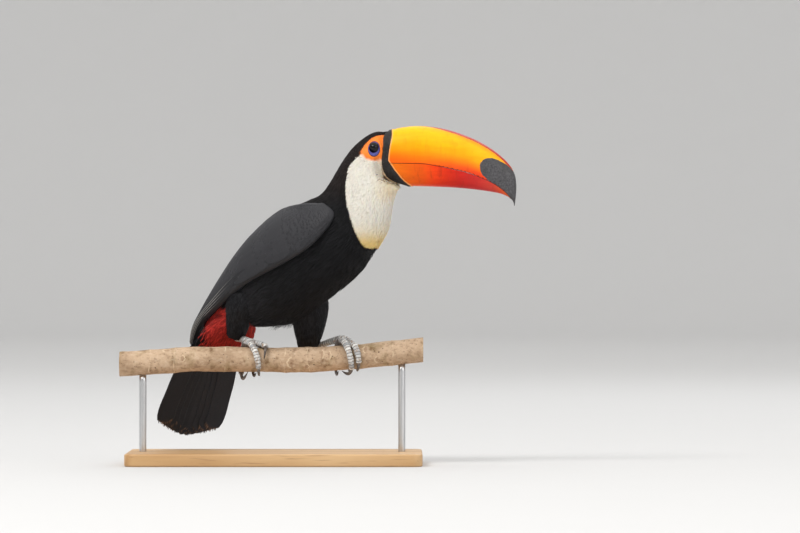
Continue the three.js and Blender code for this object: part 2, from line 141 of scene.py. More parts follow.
LEGS = dict(
    right=dict(
        thigh=[(-29, 8, 200), (-37, 3, 182), (-41, 12, 163), (-45, 26, 145)],
        radii=(16, 18, 15, 11.5), heel=(-45, 40, 141), foot=(-30, 2, 137.2),
        toes=[(-30, 12, 128, 1), (-24, 14, 40, -2), (-33, -5, -160, 8), (-24, -1, -140, 4)]),
    left=dict(
        thigh=[(38, 6, 190), (38.5, 14, 174), (37.5, 27, 150), (36, 36, 130)],
        radii=(22, 22, 17.5, 11.5), heel=(47, 38, 131), foot=(75, 3, 140.5),
        toes=[(75, 11, 142, -11), (82, 12, 116, -3), (72, -4, -140, 3), (80, 3, -132, 3)]),
)
PERCH_AXIS = [(-174, 112), (-128, 115), (-88, 117.5), (-20, 117),
              (40, 117), (95, 120.5), (132, 124.5), (166, 128)]
PERCH_RADIUS = 13.9
BASE = dict(length=330, depth=180, thick=14, corner=12, edge=2)
ROD_RADIUS, ROD_PLACES = 4.0, (-148, 142)

# ---- Curves and surfaces ----

def curve(points, t):
    """A smooth curve through evenly timed points: each span is the cubic whose slope at a
    point is half the step between its neighbours, the ends being extended by reflection."""
    p = np.asarray(points, float)
    p = np.vstack([2 * p[0] - p[1], p, 2 * p[-1] - p[-2]])
    spans = len(p) - 3
    x = np.clip(t, 0, 1) * spans
    i = np.minimum(x.astype(int), spans - 1)
    f = (x - i)[..., None]
    a, b, c, d = p[i], p[i + 1], p[i + 2], p[i + 3]
    return b + 0.5 * f * ((c - a) + f * ((2 * a - 5 * b + 4 * c - d) + f * (3 * b - a - 3 * c + d)))


def sideways(yaw):
    """The level direction to the bird's left of a heading."""
    yaw = np.asarray(yaw, float)
    return np.stack([np.sin(yaw), np.cos(yaw), 0 * yaw], -1)


def middle(x, z, yaw):
    """A point of the middle plane of a heading, which turns about the neck's upright axis."""
    x, z, yaw = np.broadcast_arrays(np.asarray(x, float), z, yaw)
    return np.stack([x, NECK_Y - np.tan(yaw) * (x - NECK_X), z], -1)


def power_of(value, power):
    """A power that keeps the sign of its number."""
    return np.sign(value) * np.abs(value) ** power


def loft(sections, heading=None, power=None):
    """A surface of (t, angle): at t from tail to head it is the oval spanned by half of
    back - belly and by the half width sideways, squared off by the section's power.
    Angle 0 is the back, a quarter turn is the bird's left side."""
    rows = np.array([(*s, heading, power) if heading is not None else s for s in sections], float)
    backs = middle(rows[:, 0], rows[:, 1], rows[:, 5])
    bellies = middle(rows[:, 2], rows[:, 3], rows[:, 5])

    def surface(t, angle):
        back, belly, size = curve(backs, t), curve(bellies, t), curve(rows[:, 4:7], t)
        rise = power_of(np.cos(angle), 2 / size[..., 2])[..., None]
        out = (power_of(np.sin(angle), 2 / size[..., 2]) * size[..., 0])[..., None]
        return (back + belly) / 2 + rise * (back - belly) / 2 + out * sideways(size[..., 1])

    return surface


def normalised(v):
    """Vectors made one long."""
    return v / np.maximum(np.linalg.norm(v, axis=-1, keepdims=True), 1e-9)


def outward(surface, u, v, sign=1.0, step=2e-3):
    """The unit normal of a surface from its slopes in both parameters."""
    du = surface(u + step, v) - surface(u - step, v)
    dv = surface(u, v + step) - surface(u, v - step)
    return normalised(np.cross(du, dv)) * sign


def limb(path, radii):
    """A round limb of (t, angle) along a smooth path. Its sides are found from two fixed
    directions made square to the path."""
    path, radii = np.asarray(path, float), np.asarray(radii, float)[:, None]

    def surface(t, angle):
        t, angle = np.broadcast_arrays(np.asarray(t, float), angle)
        centre = curve(path, t)
        along = normalised(curve(path, np.clip(t + 0.02, 0, 1)) - curve(path, np.clip(t - 0.02, 0, 1)))
        first = normalised(np.cross(along, np.array([0.2, 1.0, 0.1])))
        second = np.cross(along, first)
        r = curve(radii, t)
        return centre + r * (np.cos(angle)[..., None] * first + np.sin(angle)[..., None] * second)

    return surface


def plate(base, tip, across, widths, arch, short=0.09):
    """A fan of (s, x): s from base to tip, x from -1 to 1 across, arched by the square of x,
    its outer corners ending short of the tip by a share of its length."""
    base, tip = np.array(base, float), np.array(tip, float)
    along = tip - base
    level = normalised(along)
    across = np.array(across, float)
    across = normalised(across - level * (across @ level))
    face = normalised(np.cross(along, across))
    widths = np.array(widths, float)[:, None]

    def surface(s, x):
        s, x = np.broadcast_arrays(np.asarray(s, float), x)
        centre = base + along * (s * (1 - short * x * x * s))[..., None]
        return centre + across * x[..., None] * curve(widths, s) + face * (arch * x * x)[..., None]

    return surface, face

# ---- Meshes ----

def grid_quads(rows, columns, ring=True):
    """Quads of a grid whose columns close into a ring unless ring is false."""
    r = np.arange(rows - 1)[:, None]
    c = np.arange(columns if ring else columns - 1)[None, :]
    n = (c + 1) % columns
    quads = np.stack([r * columns + c, r * columns + n, (r + 1) * columns + n, (r + 1) * columns + c], -1)
    return quads.reshape(-1, 4)


def cap_quads(first, count, flip):
    """Quads that close a ring of an even count of points, in strips from side to side."""
    i = np.arange(count // 2 - 1)
    quads = first + np.stack([i, i + 1, count - 2 - i, count - 1 - i], -1)
    return quads[:, ::-1] if flip else quads


def tube_quads(rows, columns):
    """Quads of a closed tube with both ends capped."""
    last = (rows - 1) * columns
    return np.vstack([grid_quads(rows, columns), cap_quads(0, columns, True),
                      cap_quads(last, columns, False)])


def volume_of(points, quads):
    """The volume inside closed quads, below 0 where they face inward."""
    a, b, c, d = (points[quads[:, i]] for i in range(4))
    return (np.einsum("ij,ij->i", a, np.cross(b, c)) + np.einsum("ij,ij->i", a, np.cross(c, d))).sum() / 6


def make(name, points, quads, uv=None, values=None, colours=None, smooth=True, period=0.0, normals=None):
    """A mesh object from millimetre points and quads, turned outward as a whole. values are
    named numbers, and colours named red, green and blue rows, one for each point. A map that
    closes into a ring carries on past its end by its period."""
    points = np.asarray(points, float).reshape(-1, 3)
    quads = np.asarray(quads, int)
    if volume_of(points, quads) < 0:
        quads = quads[:, ::-1]
    mesh = bpy.data.meshes.new(name)
    mesh.vertices.add(len(points))
    mesh.vertices.foreach_set("co", (points * MM).astype(np.float32).ravel())
    mesh.loops.add(quads.size)
    mesh.loops.foreach_set("vertex_index", quads.astype(np.int32).ravel())
    mesh.polygons.add(len(quads))
    mesh.polygons.foreach_set("loop_start", np.arange(0, quads.size, 4, dtype=np.int32))
    mesh.polygons.foreach_set("use_smooth", np.full(len(quads), smooth))
    mesh.update(calc_edges=True)
    for label, value in (values or {}).items():
        attribute = mesh.attributes.new(label, "FLOAT", "POINT")
        attribute.data.foreach_set("value", np.asarray(value, np.float32).ravel())
    for label, value in (colours or {}).items():
        attribute = mesh.attributes.new(label, "FLOAT_COLOR", "POINT")
        rgba = np.ones((len(points), 4), np.float32)
        rgba[:, :3] = np.asarray(value).reshape(-1, 3)
        attribute.data.foreach_set("color", rgba.ravel())
    for label, value in (uv or {}).items():
        layer = mesh.uv_layers.new(name=label)
        corners = np.asarray(value, np.float32).reshape(-1, 2)[quads]
        if period:
            highest = corners[..., 0].max(1, keepdims=True)
            corners[..., 0] += period * (highest - corners[..., 0] > period / 2)
        layer.data.foreach_set("uv", corners.ravel())
    mesh.validate()
    if normals is not None:
        mesh.normals_split_custom_set_from_vertices(np.asarray(normals, np.float32))
    made = bpy.data.objects.new(name, mesh)
    bpy.context.scene.collection.objects.link(made)
    return made


def settle(made):
    """Makes what an object's modifiers do to it its own mesh."""
    bpy.context.view_layer.update()
    whole = bpy.data.meshes.new_from_object(made.evaluated_get(bpy.context.evaluated_depsgraph_get()))
    made.modifiers.clear()
    made.data = whole
    whole.name = made.name
    return whole


def piece(made, material, slot, *nodes):
    """Gives a made mesh its finish and body, and hides the solids it stands for. slot is not used."""
    made.data.materials.append(material)
    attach(made, "root")
    if nodes:
        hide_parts(*nodes)
    return made


def sheet_grid(us, vs):
    """Two rows of places as a grid of both, us down it and vs across."""
    return np.meshgrid(us, vs, indexing="ij")

# ---- Colours ----

def paint(red, green, blue):
    """A colour given as 0 to 255 paint values, in linear light."""
    c = np.array([red, green, blue]) / 255
    return np.where(c <= 0.04045, c / 12.92, ((c + 0.055) / 1.055) ** 2.4)


JET = paint(19, 19, 21)
NAPE = paint(34, 28, 27)
SLATE = paint(47, 47, 50)
CREAM = paint(246, 231, 214)
PEACH = paint(250, 220, 176)
STRAW = paint(250, 204, 124)
CRIMSON = paint(170, 48, 42)
FACE = paint(248, 128, 38)
WHITE = paint(232, 228, 218)


def smoothstep(low, high, x):
    """0 at low and 1 at high, easing in and out by f^2 (3 - 2f)."""
    f = np.clip((x - low) / (high - low), 0, 1)
    return f * f * (3 - 2 * f)


def mixed(first, second, share):
    """Colours a share of the way from the first to the second."""
    share = np.asarray(share)[..., None]
    return first * (1 - share) + second * share


def rounding(x):
    """How far a quarter round has fallen, from 0 at x 0 to 1 at x 1."""
    return 1 - np.sqrt(np.clip(1 - np.clip(x, 0, 1) ** 2, 0, 1))


def edge_distance(x, z, outline):
    """Signed distance from points of a side view to a closed outline, positive inside:
    the least distance to any side, its sign from how many sides a level ray crosses."""
    corners = np.array(outline, float)
    after = np.roll(corners, -1, 0)
    side = after - corners
    px, pz = x[..., None] - corners[:, 0], z[..., None] - corners[:, 1]
    f = np.clip((px * side[:, 0] + pz * side[:, 1]) / (side ** 2).sum(1), 0, 1)
    near = np.hypot(px - f * side[:, 0], pz - f * side[:, 1]).min(-1)
    level = np.where(side[:, 1] == 0, 1e-9, side[:, 1])
    crosses = (corners[:, 1] > z[..., None]) != (after[:, 1] > z[..., None])
    right = x[..., None] < corners[:, 0] + (z[..., None] - corners[:, 1]) / level * side[:, 0]
    return near * np.where((crosses & right).sum(-1) % 2 == 1, 1, -1)


# Outlines of the markings on the bird's right side, as (x, z) seen square to the branch.
BIB = [
    (96.3, 346.2), (90.7, 341.3), (85.7, 335.6), (82.1, 330.7), (80.6, 324), (79, 313), (79, 304.5),
    (80, 293), (82.3, 284.5), (85.4, 273.3), (89, 263.3), (93.3, 253.6), (97.6, 246.2), (102, 242),
    (107.3, 240), (113.5, 240.6), (120, 244), (170, 246), (170, 340.6), (119.3, 340.6),
    (116.6, 339.5), (112, 338.9), (107.5, 339.7), (102.8, 341.4), (99.2, 344.5),
]
CHEEK = [
    (140, 369), (121.5, 368), (114.3, 367), (109, 364.8), (104.6, 361.4), (100.7, 357.4), (97, 351.4),
    (95.8, 347.2), (99.4, 344.3), (102.8, 341.2), (107.7, 339.6), (112.1, 338.8), (116.6, 339.3),
    (119.3, 340.4), (140, 341),
]
FLANK_HIGHLIGHT = dict(x=-36, z=181, reach=17, pale=1.5)  # where the black is painted paler: a painted highlight on the lit flank above the thigh
VENT = [(-130, 120), (-130, 200), (-72, 178), (-48, 167), (-24, 151), (-8, 143), (-4, 120)]


def markings(x, z):
    """Feather colour at a place of the side view, with the distances to the bib and cheek."""
    bib = edge_distance(x, z, BIB)
    cheek = edge_distance(x, z, CHEEK)
    vent = edge_distance(x, z, VENT)
    black = mixed(JET, NAPE, smoothstep(285, 320, z))
    # The black is painted lighter round the flank above the thigh: a painted highlight.
    from_flank = np.hypot(x - FLANK_HIGHLIGHT["x"], z - FLANK_HIGHLIGHT["z"]) / FLANK_HIGHLIGHT["reach"]
    black = black * (1 + FLANK_HIGHLIGHT["pale"] * np.exp(-from_flank ** 2 / 2))[..., None]
    low = smoothstep(276, 250, z)
    near_bill = smoothstep(104, 130, x) * smoothstep(286, 304, z)
    cream = mixed(mixed(CREAM, PEACH, 0.7 * near_bill + 0.7 * low), STRAW, 0.9 * smoothstep(261, 244, z))
    colour = mixed(black, CRIMSON, smoothstep(-1, 1, vent))
    colour = mixed(colour, cream, smoothstep(-0.4, 0.4, bib))
    return colour, bib, cheek, vent

# ---- Materials ----

class Nodes:
    """Shader nodes, added and joined by short calls. A socket given for a value is linked."""

    def __init__(self, node_tree):
        self.nodes, self.links, self.at = node_tree.nodes, node_tree.links, 0

    def put(self, value, socket):
        """Links a socket to another, or sets its number or its colour, grey given as one."""
        if hasattr(value, "links"):
            self.links.new(value, socket)
        elif socket.type == "RGBA":
            socket.default_value = (*((value,) * 3 if np.isscalar(value) else tuple(value)), 1)
        else:
            socket.default_value = value

    def add(self, kind, **settings):
        """A node, its inputs and its own settings set by name."""
        node = self.nodes.new(kind)
        self.at += 1
        node.location = (-240 * (1 + self.at % 6), -220 * (self.at // 6))
        for key, value in settings.items():
            if key in node.inputs:
                node.inputs[key].default_value = value
            else:
                setattr(node, key, value)
        return node

    def join(self, source, target, into):
        """Links a socket to a node's named input."""
        self.links.new(source, target.inputs[into])

    def place(self):
        """The place on the piece."""
        return self.add("ShaderNodeTexCoord").outputs["Object"]

    def value(self, name):
        """One of the piece's own named numbers."""
        return self.add("ShaderNodeAttribute", attribute_name=name).outputs["Fac"]

    def colour(self, name):
        """One of the piece's own named colours."""
        return self.add("ShaderNodeAttribute", attribute_name=name).outputs["Color"]

    def noise(self, scale, detail=3.0, vector=None, stretch=None, roughness=0.5):
        """Noise by place, stretched along each axis if that is given."""
        vector = vector or self.place()
        if stretch:
            mapping = self.add("ShaderNodeMapping")
            mapping.inputs["Scale"].default_value = stretch
            self.join(vector, mapping, "Vector")
            vector = mapping.outputs["Vector"]
        node = self.add("ShaderNodeTexNoise", Scale=scale, Detail=detail, Roughness=roughness)
        self.join(vector, node, "Vector")
        return node.outputs["Fac"]

    def fit(self, source, low, high, to_low=0.0, to_high=1.0):
        """A value's range from low to high stretched to another, and held at its ends."""
        node = self.add("ShaderNodeMapRange")
        self.join(source, node, "Value")
        for label, value in (("From Min", low), ("From Max", high), ("To Min", to_low), ("To Max", to_high)):
            self.put(value, node.inputs[label])
        return node.outputs["Result"]

    def mix(self, share, first, second, how="MIX"):
        """Two colours mixed, the node's inputs for colours being its seventh and eighth."""
        node = self.add("ShaderNodeMix", data_type="RGBA", blend_type=how, clamp_factor=True)
        for into, value in ((0, share), (6, first), (7, second)):
            self.put(value, node.inputs[into])
        return node.outputs[2]

    def mottled(self, scale, detail, vector, between, first, second, stretch=None):
        """Two colours by a noise's values between two of them."""
        return self.mix(self.fit(self.noise(scale, detail, vector, stretch), *between), first, second)

    def times(self, colour, shade):
        """A colour made lighter or darker by a value."""
        return self.mix(1.0, colour, self.mix(1.0, 1.0, shade, "MULTIPLY"), "MULTIPLY")

    def math(self, operation, first, second=None):
        """One sum of one or two values."""
        node = self.add("ShaderNodeMath", operation=operation)
        self.put(first, node.inputs[0])
        if second is not None:
            self.put(second, node.inputs[1])
        return node.outputs[0]

    def effect(self, group, **inputs):
        """The outputs of an effect, with this material's own values for its inputs."""
        node = self.add("ShaderNodeGroup", node_tree=group)
        for label, value in inputs.items():
            self.put(value, node.inputs[label])
        return node.outputs


class Effect(Nodes):
    """An effect that several materials use: a node group with named inputs and outputs."""

    def __init__(self, name, inputs, outputs):
        self.group = bpy.data.node_groups.new(name, "ShaderNodeTree")
        super().__init__(self.group)
        for way, sockets in (("INPUT", inputs), ("OUTPUT", outputs)):
            for label, kind in sockets.items():
                self.group.interface.new_socket(label, in_out=way, socket_type=f"NodeSocket{kind}")
        self.given = self.nodes.new("NodeGroupInput").outputs
        self.made = self.nodes.new("NodeGroupOutput").inputs


class Tree(Nodes):
    """A material, its finish set on the one shader in it."""

    def __init__(self, name):
        self.material = bpy.data.materials.new(name)
        self.material.use_nodes = True
        super().__init__(self.material.node_tree)
        self.shader = self.nodes["Principled BSDF"]

    def bump(self, height, strength, distance):
        """Makes the surface rise and fall by a height."""
        node = self.add("ShaderNodeBump", Strength=strength, Distance=distance)
        self.join(height, node, "Height")
        self.join(node.outputs["Normal"], self.shader, "Normal")

    def finish(self, colour, roughness, **settings):
        """The finished material. An underscore in a setting's name stands for a space."""
        self.put(colour, self.shader.inputs["Base Color"])
        self.put(roughness, self.shader.inputs["Roughness"])
        for label, value in settings.items():
            self.shader.inputs[label.replace("_", " ")].default_value = value
        return self.material


def streak_effect():
    """Barbs: a fine streak shades the tint from Dark to Light, and with it the roughness
    goes from Smooth to Rough."""
    levels = dict.fromkeys(("Dark", "Light", "Smooth", "Rough"), "Float")
    tree = Effect("feather_streak", dict(Tint="Color", **levels), dict(Colour="Color", Roughness="Float"))
    streak = tree.noise(900, 2.0)
    shade = tree.fit(streak, 0.3, 0.7, tree.given["Dark"], tree.given["Light"])
    tree.put(tree.times(tree.given["Tint"], shade), tree.made["Colour"])
    tree.put(tree.fit(streak, 0.3, 0.7, tree.given["Smooth"], tree.given["Rough"]), tree.made["Roughness"])
    return tree.group


def pebble_effect():
    """Pebbles of bare skin, as the distance from the middle of each."""
    tree = Effect("skin_pebbles", dict(Place="Vector", Scale="Float"), dict(Distance="Float"))
    pebble = tree.add("ShaderNodeTexVoronoi")
    tree.put(tree.given["Place"], pebble.inputs["Vector"])
    tree.put(tree.given["Scale"], pebble.inputs["Scale"])
    tree.put(pebble.outputs["Distance"], tree.made["Distance"])
    return tree.group


STREAK, PEBBLES = streak_effect(), pebble_effect()


def plumage_material(name, roughness, sheen, vary, specular, soft=0.0):
    """Feather cloth: the tuft's own colour, streaked finely by vary each way, with a cool
    sheen. soft is how far light passes into it."""
    tree = Tree(name)
    streak = tree.effect(STREAK, Tint=tree.colour("tint"), Dark=1 - vary, Light=1 + vary,
                         Smooth=roughness - 0.08, Rough=roughness + 0.08)
    tree.finish(streak["Colour"], streak["Roughness"], Sheen_Weight=sheen, Sheen_Roughness=0.4,
                Specular_IOR_Level=specular, Subsurface_Weight=soft, Subsurface_Scale=0.0015)
    tree.shader.inputs["Sheen Tint"].default_value = (0.8, 0.85, 1, 1)
    return tree.material

# ---- Vanes ----

def scatter(surface, count, u_range, v_range, cells=(90, 90)):
    """Evenly spread places on a surface: a low-discrepancy pair of numbers is warped by the
    running area of the surface's grid, first along u and then along v."""
    u = np.linspace(*u_range, cells[0] + 1)
    v = np.linspace(*v_range, cells[1] + 1)
    grid = surface(*sheet_grid(u, v))
    across = np.cross(np.diff(grid, axis=0)[:, :-1], np.diff(grid, axis=1)[:-1])
    area = np.linalg.norm(across, axis=-1)
    total = np.concatenate([[0], np.cumsum(area.sum(1))])
    n = np.arange(count)
    first = (0.5 + n * 0.7548776662466927) % 1
    second = (0.5 + n * 0.5698402909980532) % 1
    place = np.interp(first * total[-1], total, np.arange(len(total)))
    row = np.minimum(place.astype(int), cells[0] - 1)
    running = np.hstack([np.zeros((cells[0], 1)), np.cumsum(area, 1)])
    running /= running[:, -1:]
    column = np.interp(second + row, (running + np.arange(cells[0])[:, None]).ravel(),
                       np.tile(np.arange(cells[1] + 1.0), (cells[0], 1)).ravel())
    return np.interp(place, np.arange(cells[0] + 1), u), np.interp(column, np.arange(cells[1] + 1), v)


def spines(surface, root, tip, stations, sign):
    """Middle lines laid on a surface from root (u, v) to tip (u, v): points, the directions
    across them and the surface's normals, at each station. On the skin the normals are the
    feathered surface's own, because the skin folds in under the bill's band."""
    s = np.asarray(stations)[None, :]
    u = root[0][:, None] * (1 - s) + tip[0][:, None] * s
    v = root[1][:, None] * (1 - s) + tip[1][:, None] * s
    points = surface(u, v)
    normals = outward(outer if surface is skin_surface else surface, u, v, sign)
    ahead = normalised(np.gradient(points, axis=1))
    across = normalised(np.cross(normals, ahead))
    return points, across, normals


def across_blade(columns):
    """Places across a blade from -1 to 1, gathered at its edges when there are many."""
    x = np.linspace(-1, 1, columns)
    return power_of(x, {3: 1, 5: 0.12}.get(columns, 0.4))


def round_blade(columns):
    """Places across a blade for each point of its ring, over its top and back underneath."""
    top = across_blade(columns)
    return np.concatenate([top, top[-2:0:-1]])


def blades(points, across, normals, widths, lift, thick, columns=3, tilt=0.0, cup=0.0):
    """Closed thin blades round spines. widths and lift are rows of numbers for each station;
    a blade's top stands thick above its edges, tilt raises one edge and cup bends both down."""
    count, rows = points.shape[:2]
    x = round_blade(columns)
    ring = len(x)
    rise = (1 - x ** 2) * np.where(np.arange(ring) < columns, 1, -0.4)
    widths = np.broadcast_to(widths, (count, rows))[..., None]
    lift = np.broadcast_to(lift, (count, rows))[..., None]
    thick = np.broadcast_to(np.asarray(thick, float).reshape(-1, 1, 1), (count, 1, 1))
    tilt = np.broadcast_to(np.asarray(tilt, float).reshape(-1, 1, 1), (count, 1, 1))
    height = lift + thick * rise + tilt * x - cup * widths * x ** 2
    spread = points[:, :, None] + across[:, :, None] * (widths * x)[..., None]
    made = spread + normals[:, :, None] * height[..., None]
    firsts = (np.arange(count) * rows * ring)[:, None, None]
    quads = (tube_quads(rows, ring)[None] + firsts).reshape(-1, 4)
    return made.reshape(-1, 3), quads, ring


def patch_map(u, v, rows, ring, size=0.003):
    """Each blade's own small patch of the unwrap, at its root's place on the skin's."""
    along = np.linspace(0, 1, rows)[None, :, None]
    round_ = (np.abs(np.linspace(-1, 1, ring))[None, None, :])
    u = np.clip(u, 0.002, 0.998)[:, None, None] + size * (round_ - 0.5) + 0 * along
    v = np.clip(v, 0.002, 0.996)[:, None, None] + size * (along - 0.5) + 0 * round_
    return np.stack([u, v], -1).reshape(-1, 2)


def coat(name, parts, material, slot, *nodes):
    """Joins the blades of several beds into one piece. Each part is points, quads, colours,
    map and, for tufts, the way each point is shaded."""
    starts = np.cumsum([0] + [len(part[0]) for part in parts])
    quads = np.vstack([part[1] + start for part, start in zip(parts, starts)])
    points, _, colours, maps, *normals = [np.vstack(rows) for rows in zip(*parts)]
    made = make(name, points, quads, uv={"OFBake": maps}, colours={"tint": colours},
                normals=normals[0] if normals else None)
    return piece(made, material, slot, *nodes)


def tufts(surface, root, tip, sign, width, lift, thick, colour, unwrap, profile, stations, lean=0.35):
    """Small blades of three columns on a surface. width is each blade's half width, profile
    its share at each station, lift the height over the surface there, and colour one for
    each blade or one for each station of it. A blade is shaded as the surface is, its edges
    turned outward by lean."""
    points, across, normals = spines(surface, root, tip, stations, sign)
    widths = width[:, None] * np.asarray(profile)[None, :]
    made, quads, ring = blades(points, across, normals, widths, lift, thick, cup=0.15)
    sides = np.array([-1, 0, 1, 0])[:, None]
    facing = normals[:, :, None] * np.array([1, 1, 1, -1])[:, None]
    facing = facing + lean * sides * across[:, :, None]
    shades = colour[:, None, None] if colour.ndim == 2 else colour[:, :, None]
    shades = np.broadcast_to(shades, (len(colour), len(stations), ring, 3)).reshape(-1, 3)
    maps = patch_map(*unwrap, len(stations), ring)
    return made, quads, shades, maps, normalised(facing.reshape(-1, 3))


WISP = dict(stations=(0, 0.35, 0.7, 1.0), profile=(0.55, 1.0, 0.75, 0.12))

body = loft(BODY)
cloak = loft(CLOAK, BODY_YAW, 2.15)
bill = loft(BILL, HEAD_YAW, 2.25)


CHIN_RATE, CHIN_END = 0.77, 1.17  # the bill's t for each t past the face, and the last t


def outer(t, angle):
    """The feathered surface: the body, and past its face (t over 1) the rear of the bill,
    where the chin's feathers lie. The step between the two fades out over the first of it."""
    t, angle = np.broadcast_arrays(np.asarray(t, float), angle)
    past = np.maximum(t - 1, 0)
    step = (body(t * 0 + 1, angle) - bill(t * 0, angle)) * (1 - smoothstep(0, 0.08, past))[..., None]
    chin = bill(past * CHIN_RATE, angle) + step
    return np.where((t > 1)[..., None], chin, body(np.minimum(t, 1), angle))


# The sign that turns the body's normals outward, found on its left side.
left_side = outward(body, np.array([0.5]), np.array([math.pi / 2]))[0]
OUT = 1.0 if left_side @ sideways(turning(0.3)) > 0 else -1.0


def coat_depth(t):
    """How deep the feathers lie over the skin, from rump to face."""
    return np.interp(t, [0, 0.3, 0.5, 0.62, 0.7, 0.8, 1], [3.4, 3.8, 3.2, 2.4, 1.7, 1.2, 0.9])


def side_twin(t, angle):
    """Side-view place of the matching point on the bird's right side."""
    p = outer(t, -np.abs(angle))
    return p[..., 0], p[..., 2]


# The dark band at the bill's base, as (x, z) of its rear edge from top to bottom.
BAND_REAR = [(128.5, 376), (127.4, 372.6), (125.3, 370.4), (123.2, 368.2), (122, 366), (121.2, 362.5),
             (121.1, 354.5), (120.4, 348), (119.6, 341.7), (119.7, 335.7), (120.6, 330.2), (122.3, 325.8),
             (124.9, 321.3), (127.6, 318.6), (131.9, 316), (136.9, 313.9), (142.5, 312.3), (147.4, 311),
             (152, 309)]
SLACK = 0.8  # how far the feathers' tips stay inside the solids
# How far the skin goes in under the band and from how far behind it, how much wider it may
# be there, and how softly its width is held.
TUCK, TUCK_REACH, TUCK_EASE, TUCK_SOFT = 1.5, 14.0, 9.0, 0.8


def behind_band(x, z):
    """How far a place of the side view lies behind the band's rear edge."""
    edge = np.array(BAND_REAR[::-1], float)
    return np.interp(z, edge[:, 1], edge[:, 0]) - x


def bill_width(x, z):
    """Half width of the bill at a place of the side view, its first section carried on behind."""
    rows = np.array(BILL, float)
    top, low = np.interp(x, rows[:, 0], rows[:, 1]), np.interp(x, rows[:, 2], rows[:, 3])
    high = np.clip(np.abs((2 * z - top - low) / (top - low)), 0, 1)
    return np.interp(x, rows[:, 0], rows[:, 4]) * (1 - high ** 2.25) ** (1 / 2.25)


def skin_surface(t, angle):
    """The skin lies inside the feathered surface by the coat's depth, less on the bare cheek,
    and narrows to go in under the rim of the bill: where its distance d from the middle is
    over the bill's own w, d becomes d - s ln(1 + exp((d - w) / s)), s being TUCK_SOFT."""
    x, z = side_twin(t, angle)
    bare = smoothstep(-1.5, 1.5, edge_distance(x, z, CHEEK))
    behind = behind_band(x, z)
    depth = (coat_depth(t) + SLACK) * (1 - bare) + 0.4 * bare
    depth = np.maximum(depth, (2.0 - 1.4 * bare) * smoothstep(4.5, 0.3, behind))
    points = outer(t, angle) - outward(outer, t, angle, OUT) * depth[..., None]
    aside = sideways(HEAD_YAW)
    off = (points - np.array([NECK_X, NECK_Y, 0])) @ aside
    most = bill_width(x, z) - TUCK * (1 - 0.6 * bare) + TUCK_EASE * smoothstep(0, TUCK_REACH, behind)
    over = TUCK_SOFT * np.logaddexp(0, (np.abs(off) - most) / TUCK_SOFT)
    over = np.minimum(over, np.abs(off)) * smoothstep(TUCK_REACH, 0.3 * TUCK_REACH, behind)
    return points - (np.sign(off) * over)[..., None] * aside

# ---- Skin ----

def mound(spec, root, tip, narrow):
    """A feathered mound of (s, angle) on both faces of a fan, its half thickness falling
    from root to tip."""
    fan, face = plate(**spec)

    def surface(s, angle):
        s, angle = np.broadcast_arrays(np.asarray(s, float), angle)
        half = (root + (tip - root) * s) * np.sin(angle) * np.sqrt(np.clip(1.02 - s ** 4, 0.05, 1))
        return fan(s, np.cos(angle) * narrow) + face * half[..., None]

    return surface


def unwrap_body(t, angle):
    """The body's place on the skin's own unwrap, its left part."""
    return 0.02 + 0.6 * (angle / TAU + 0.5), 0.01 + 0.83 * t


def unwrap_thigh(side):
    """A thigh's place on the unwrap, right of the body and low."""
    start = 0.66 if side == "right" else 0.82
    return lambda t, angle: (start + 0.14 * (angle / TAU % 1), 0.02 + 0.45 * t)


def unwrap_mound(row):
    """A tail mound's place on the unwrap, right of the body and high."""
    return lambda s, angle: (0.66 + 0.3 * (angle / TAU % 1), 0.5 + 0.24 * row + 0.22 * s)


thigh_skins = {side: limb(leg["thigh"], np.array(leg["radii"]) - 3.2) for side, leg in LEGS.items()}
vent_mound = mound(UNDERTAIL, 12, 3, 0.88)
rump_mound = mound(UPPERTAIL, 6, 2, 0.86)

AHEAD = np.array([math.cos(HEAD_YAW), -math.sin(HEAD_YAW), 0])
UP = np.array([0, 0, 1.0])
LID_SHIFT = (0.3, -1.4)  # from the middle of the opening to the middle of the ring round it
# Rings round the eye, from its middle out: half width, half height, height over the cheek.
# The rings inside the opening lie within the eyeball, whose own height they take.
LIDS = np.array([
    (0.01, 0.01, 0), (1, 1, 0), (2.1, 2.1, 0), (3.3, 3.3, 0), (4.4, 4.5, 0), (4.95, 5.2, 0), (5.08, 5.36, 0),
    (5.16, 5.48, 0.5), (5.3, 5.7, 0.8), (5.45, 6.0, 0.95), (5.65, 6.4, 1.0), (5.87, 6.9, 0.96),
    (6.07, 7.4, 0.85), (6.25, 7.95, 0.65), (6.46, 8.45, 0.38), (6.78, 8.8, 0.4), (7.2, 9.2, 0.66),
    (7.7, 9.7, 0.7), (8.3, 10.3, 0.56), (9.0, 10.9, 0.4), (9.8, 11.7, 0.26), (10.8, 12.5, 0.14),
    (11.9, 13.4, 0.06), (13.0, 14.2, 0.02), (14.4, 15.2, 0),
])
OPENING = 7  # the ring at the edge of the lids
RING_COUNT = len(LIDS) - 1


def eye_frame(sign):
    """The middle plane's point level with the eye, and the way out to that side."""
    return middle(EYE["x"], EYE["z"], HEAD_YAW), sign * sideways(HEAD_YAW)


def cheek_height(points, sign):
    """How far out the cheek stands round the eye: the best fit of the skin's own points by
    1, p, q, p^2, pq and q^2, where p runs ahead of the eye and q up."""
    centre, out = eye_frame(sign)
    local = points.reshape(-1, 3) - centre
    p, q, height = local @ AHEAD, local @ UP, local @ out
    near = (np.hypot(p, q) < 15) & (height > 5)
    terms = lambda p, q: np.stack([p * 0 + 1, p, q, p * p, p * q, q * q], -1)
    fit = np.linalg.lstsq(terms(p[near], q[near]), height[near], rcond=None)[0]
    return lambda p, q: terms(p, q) @ fit


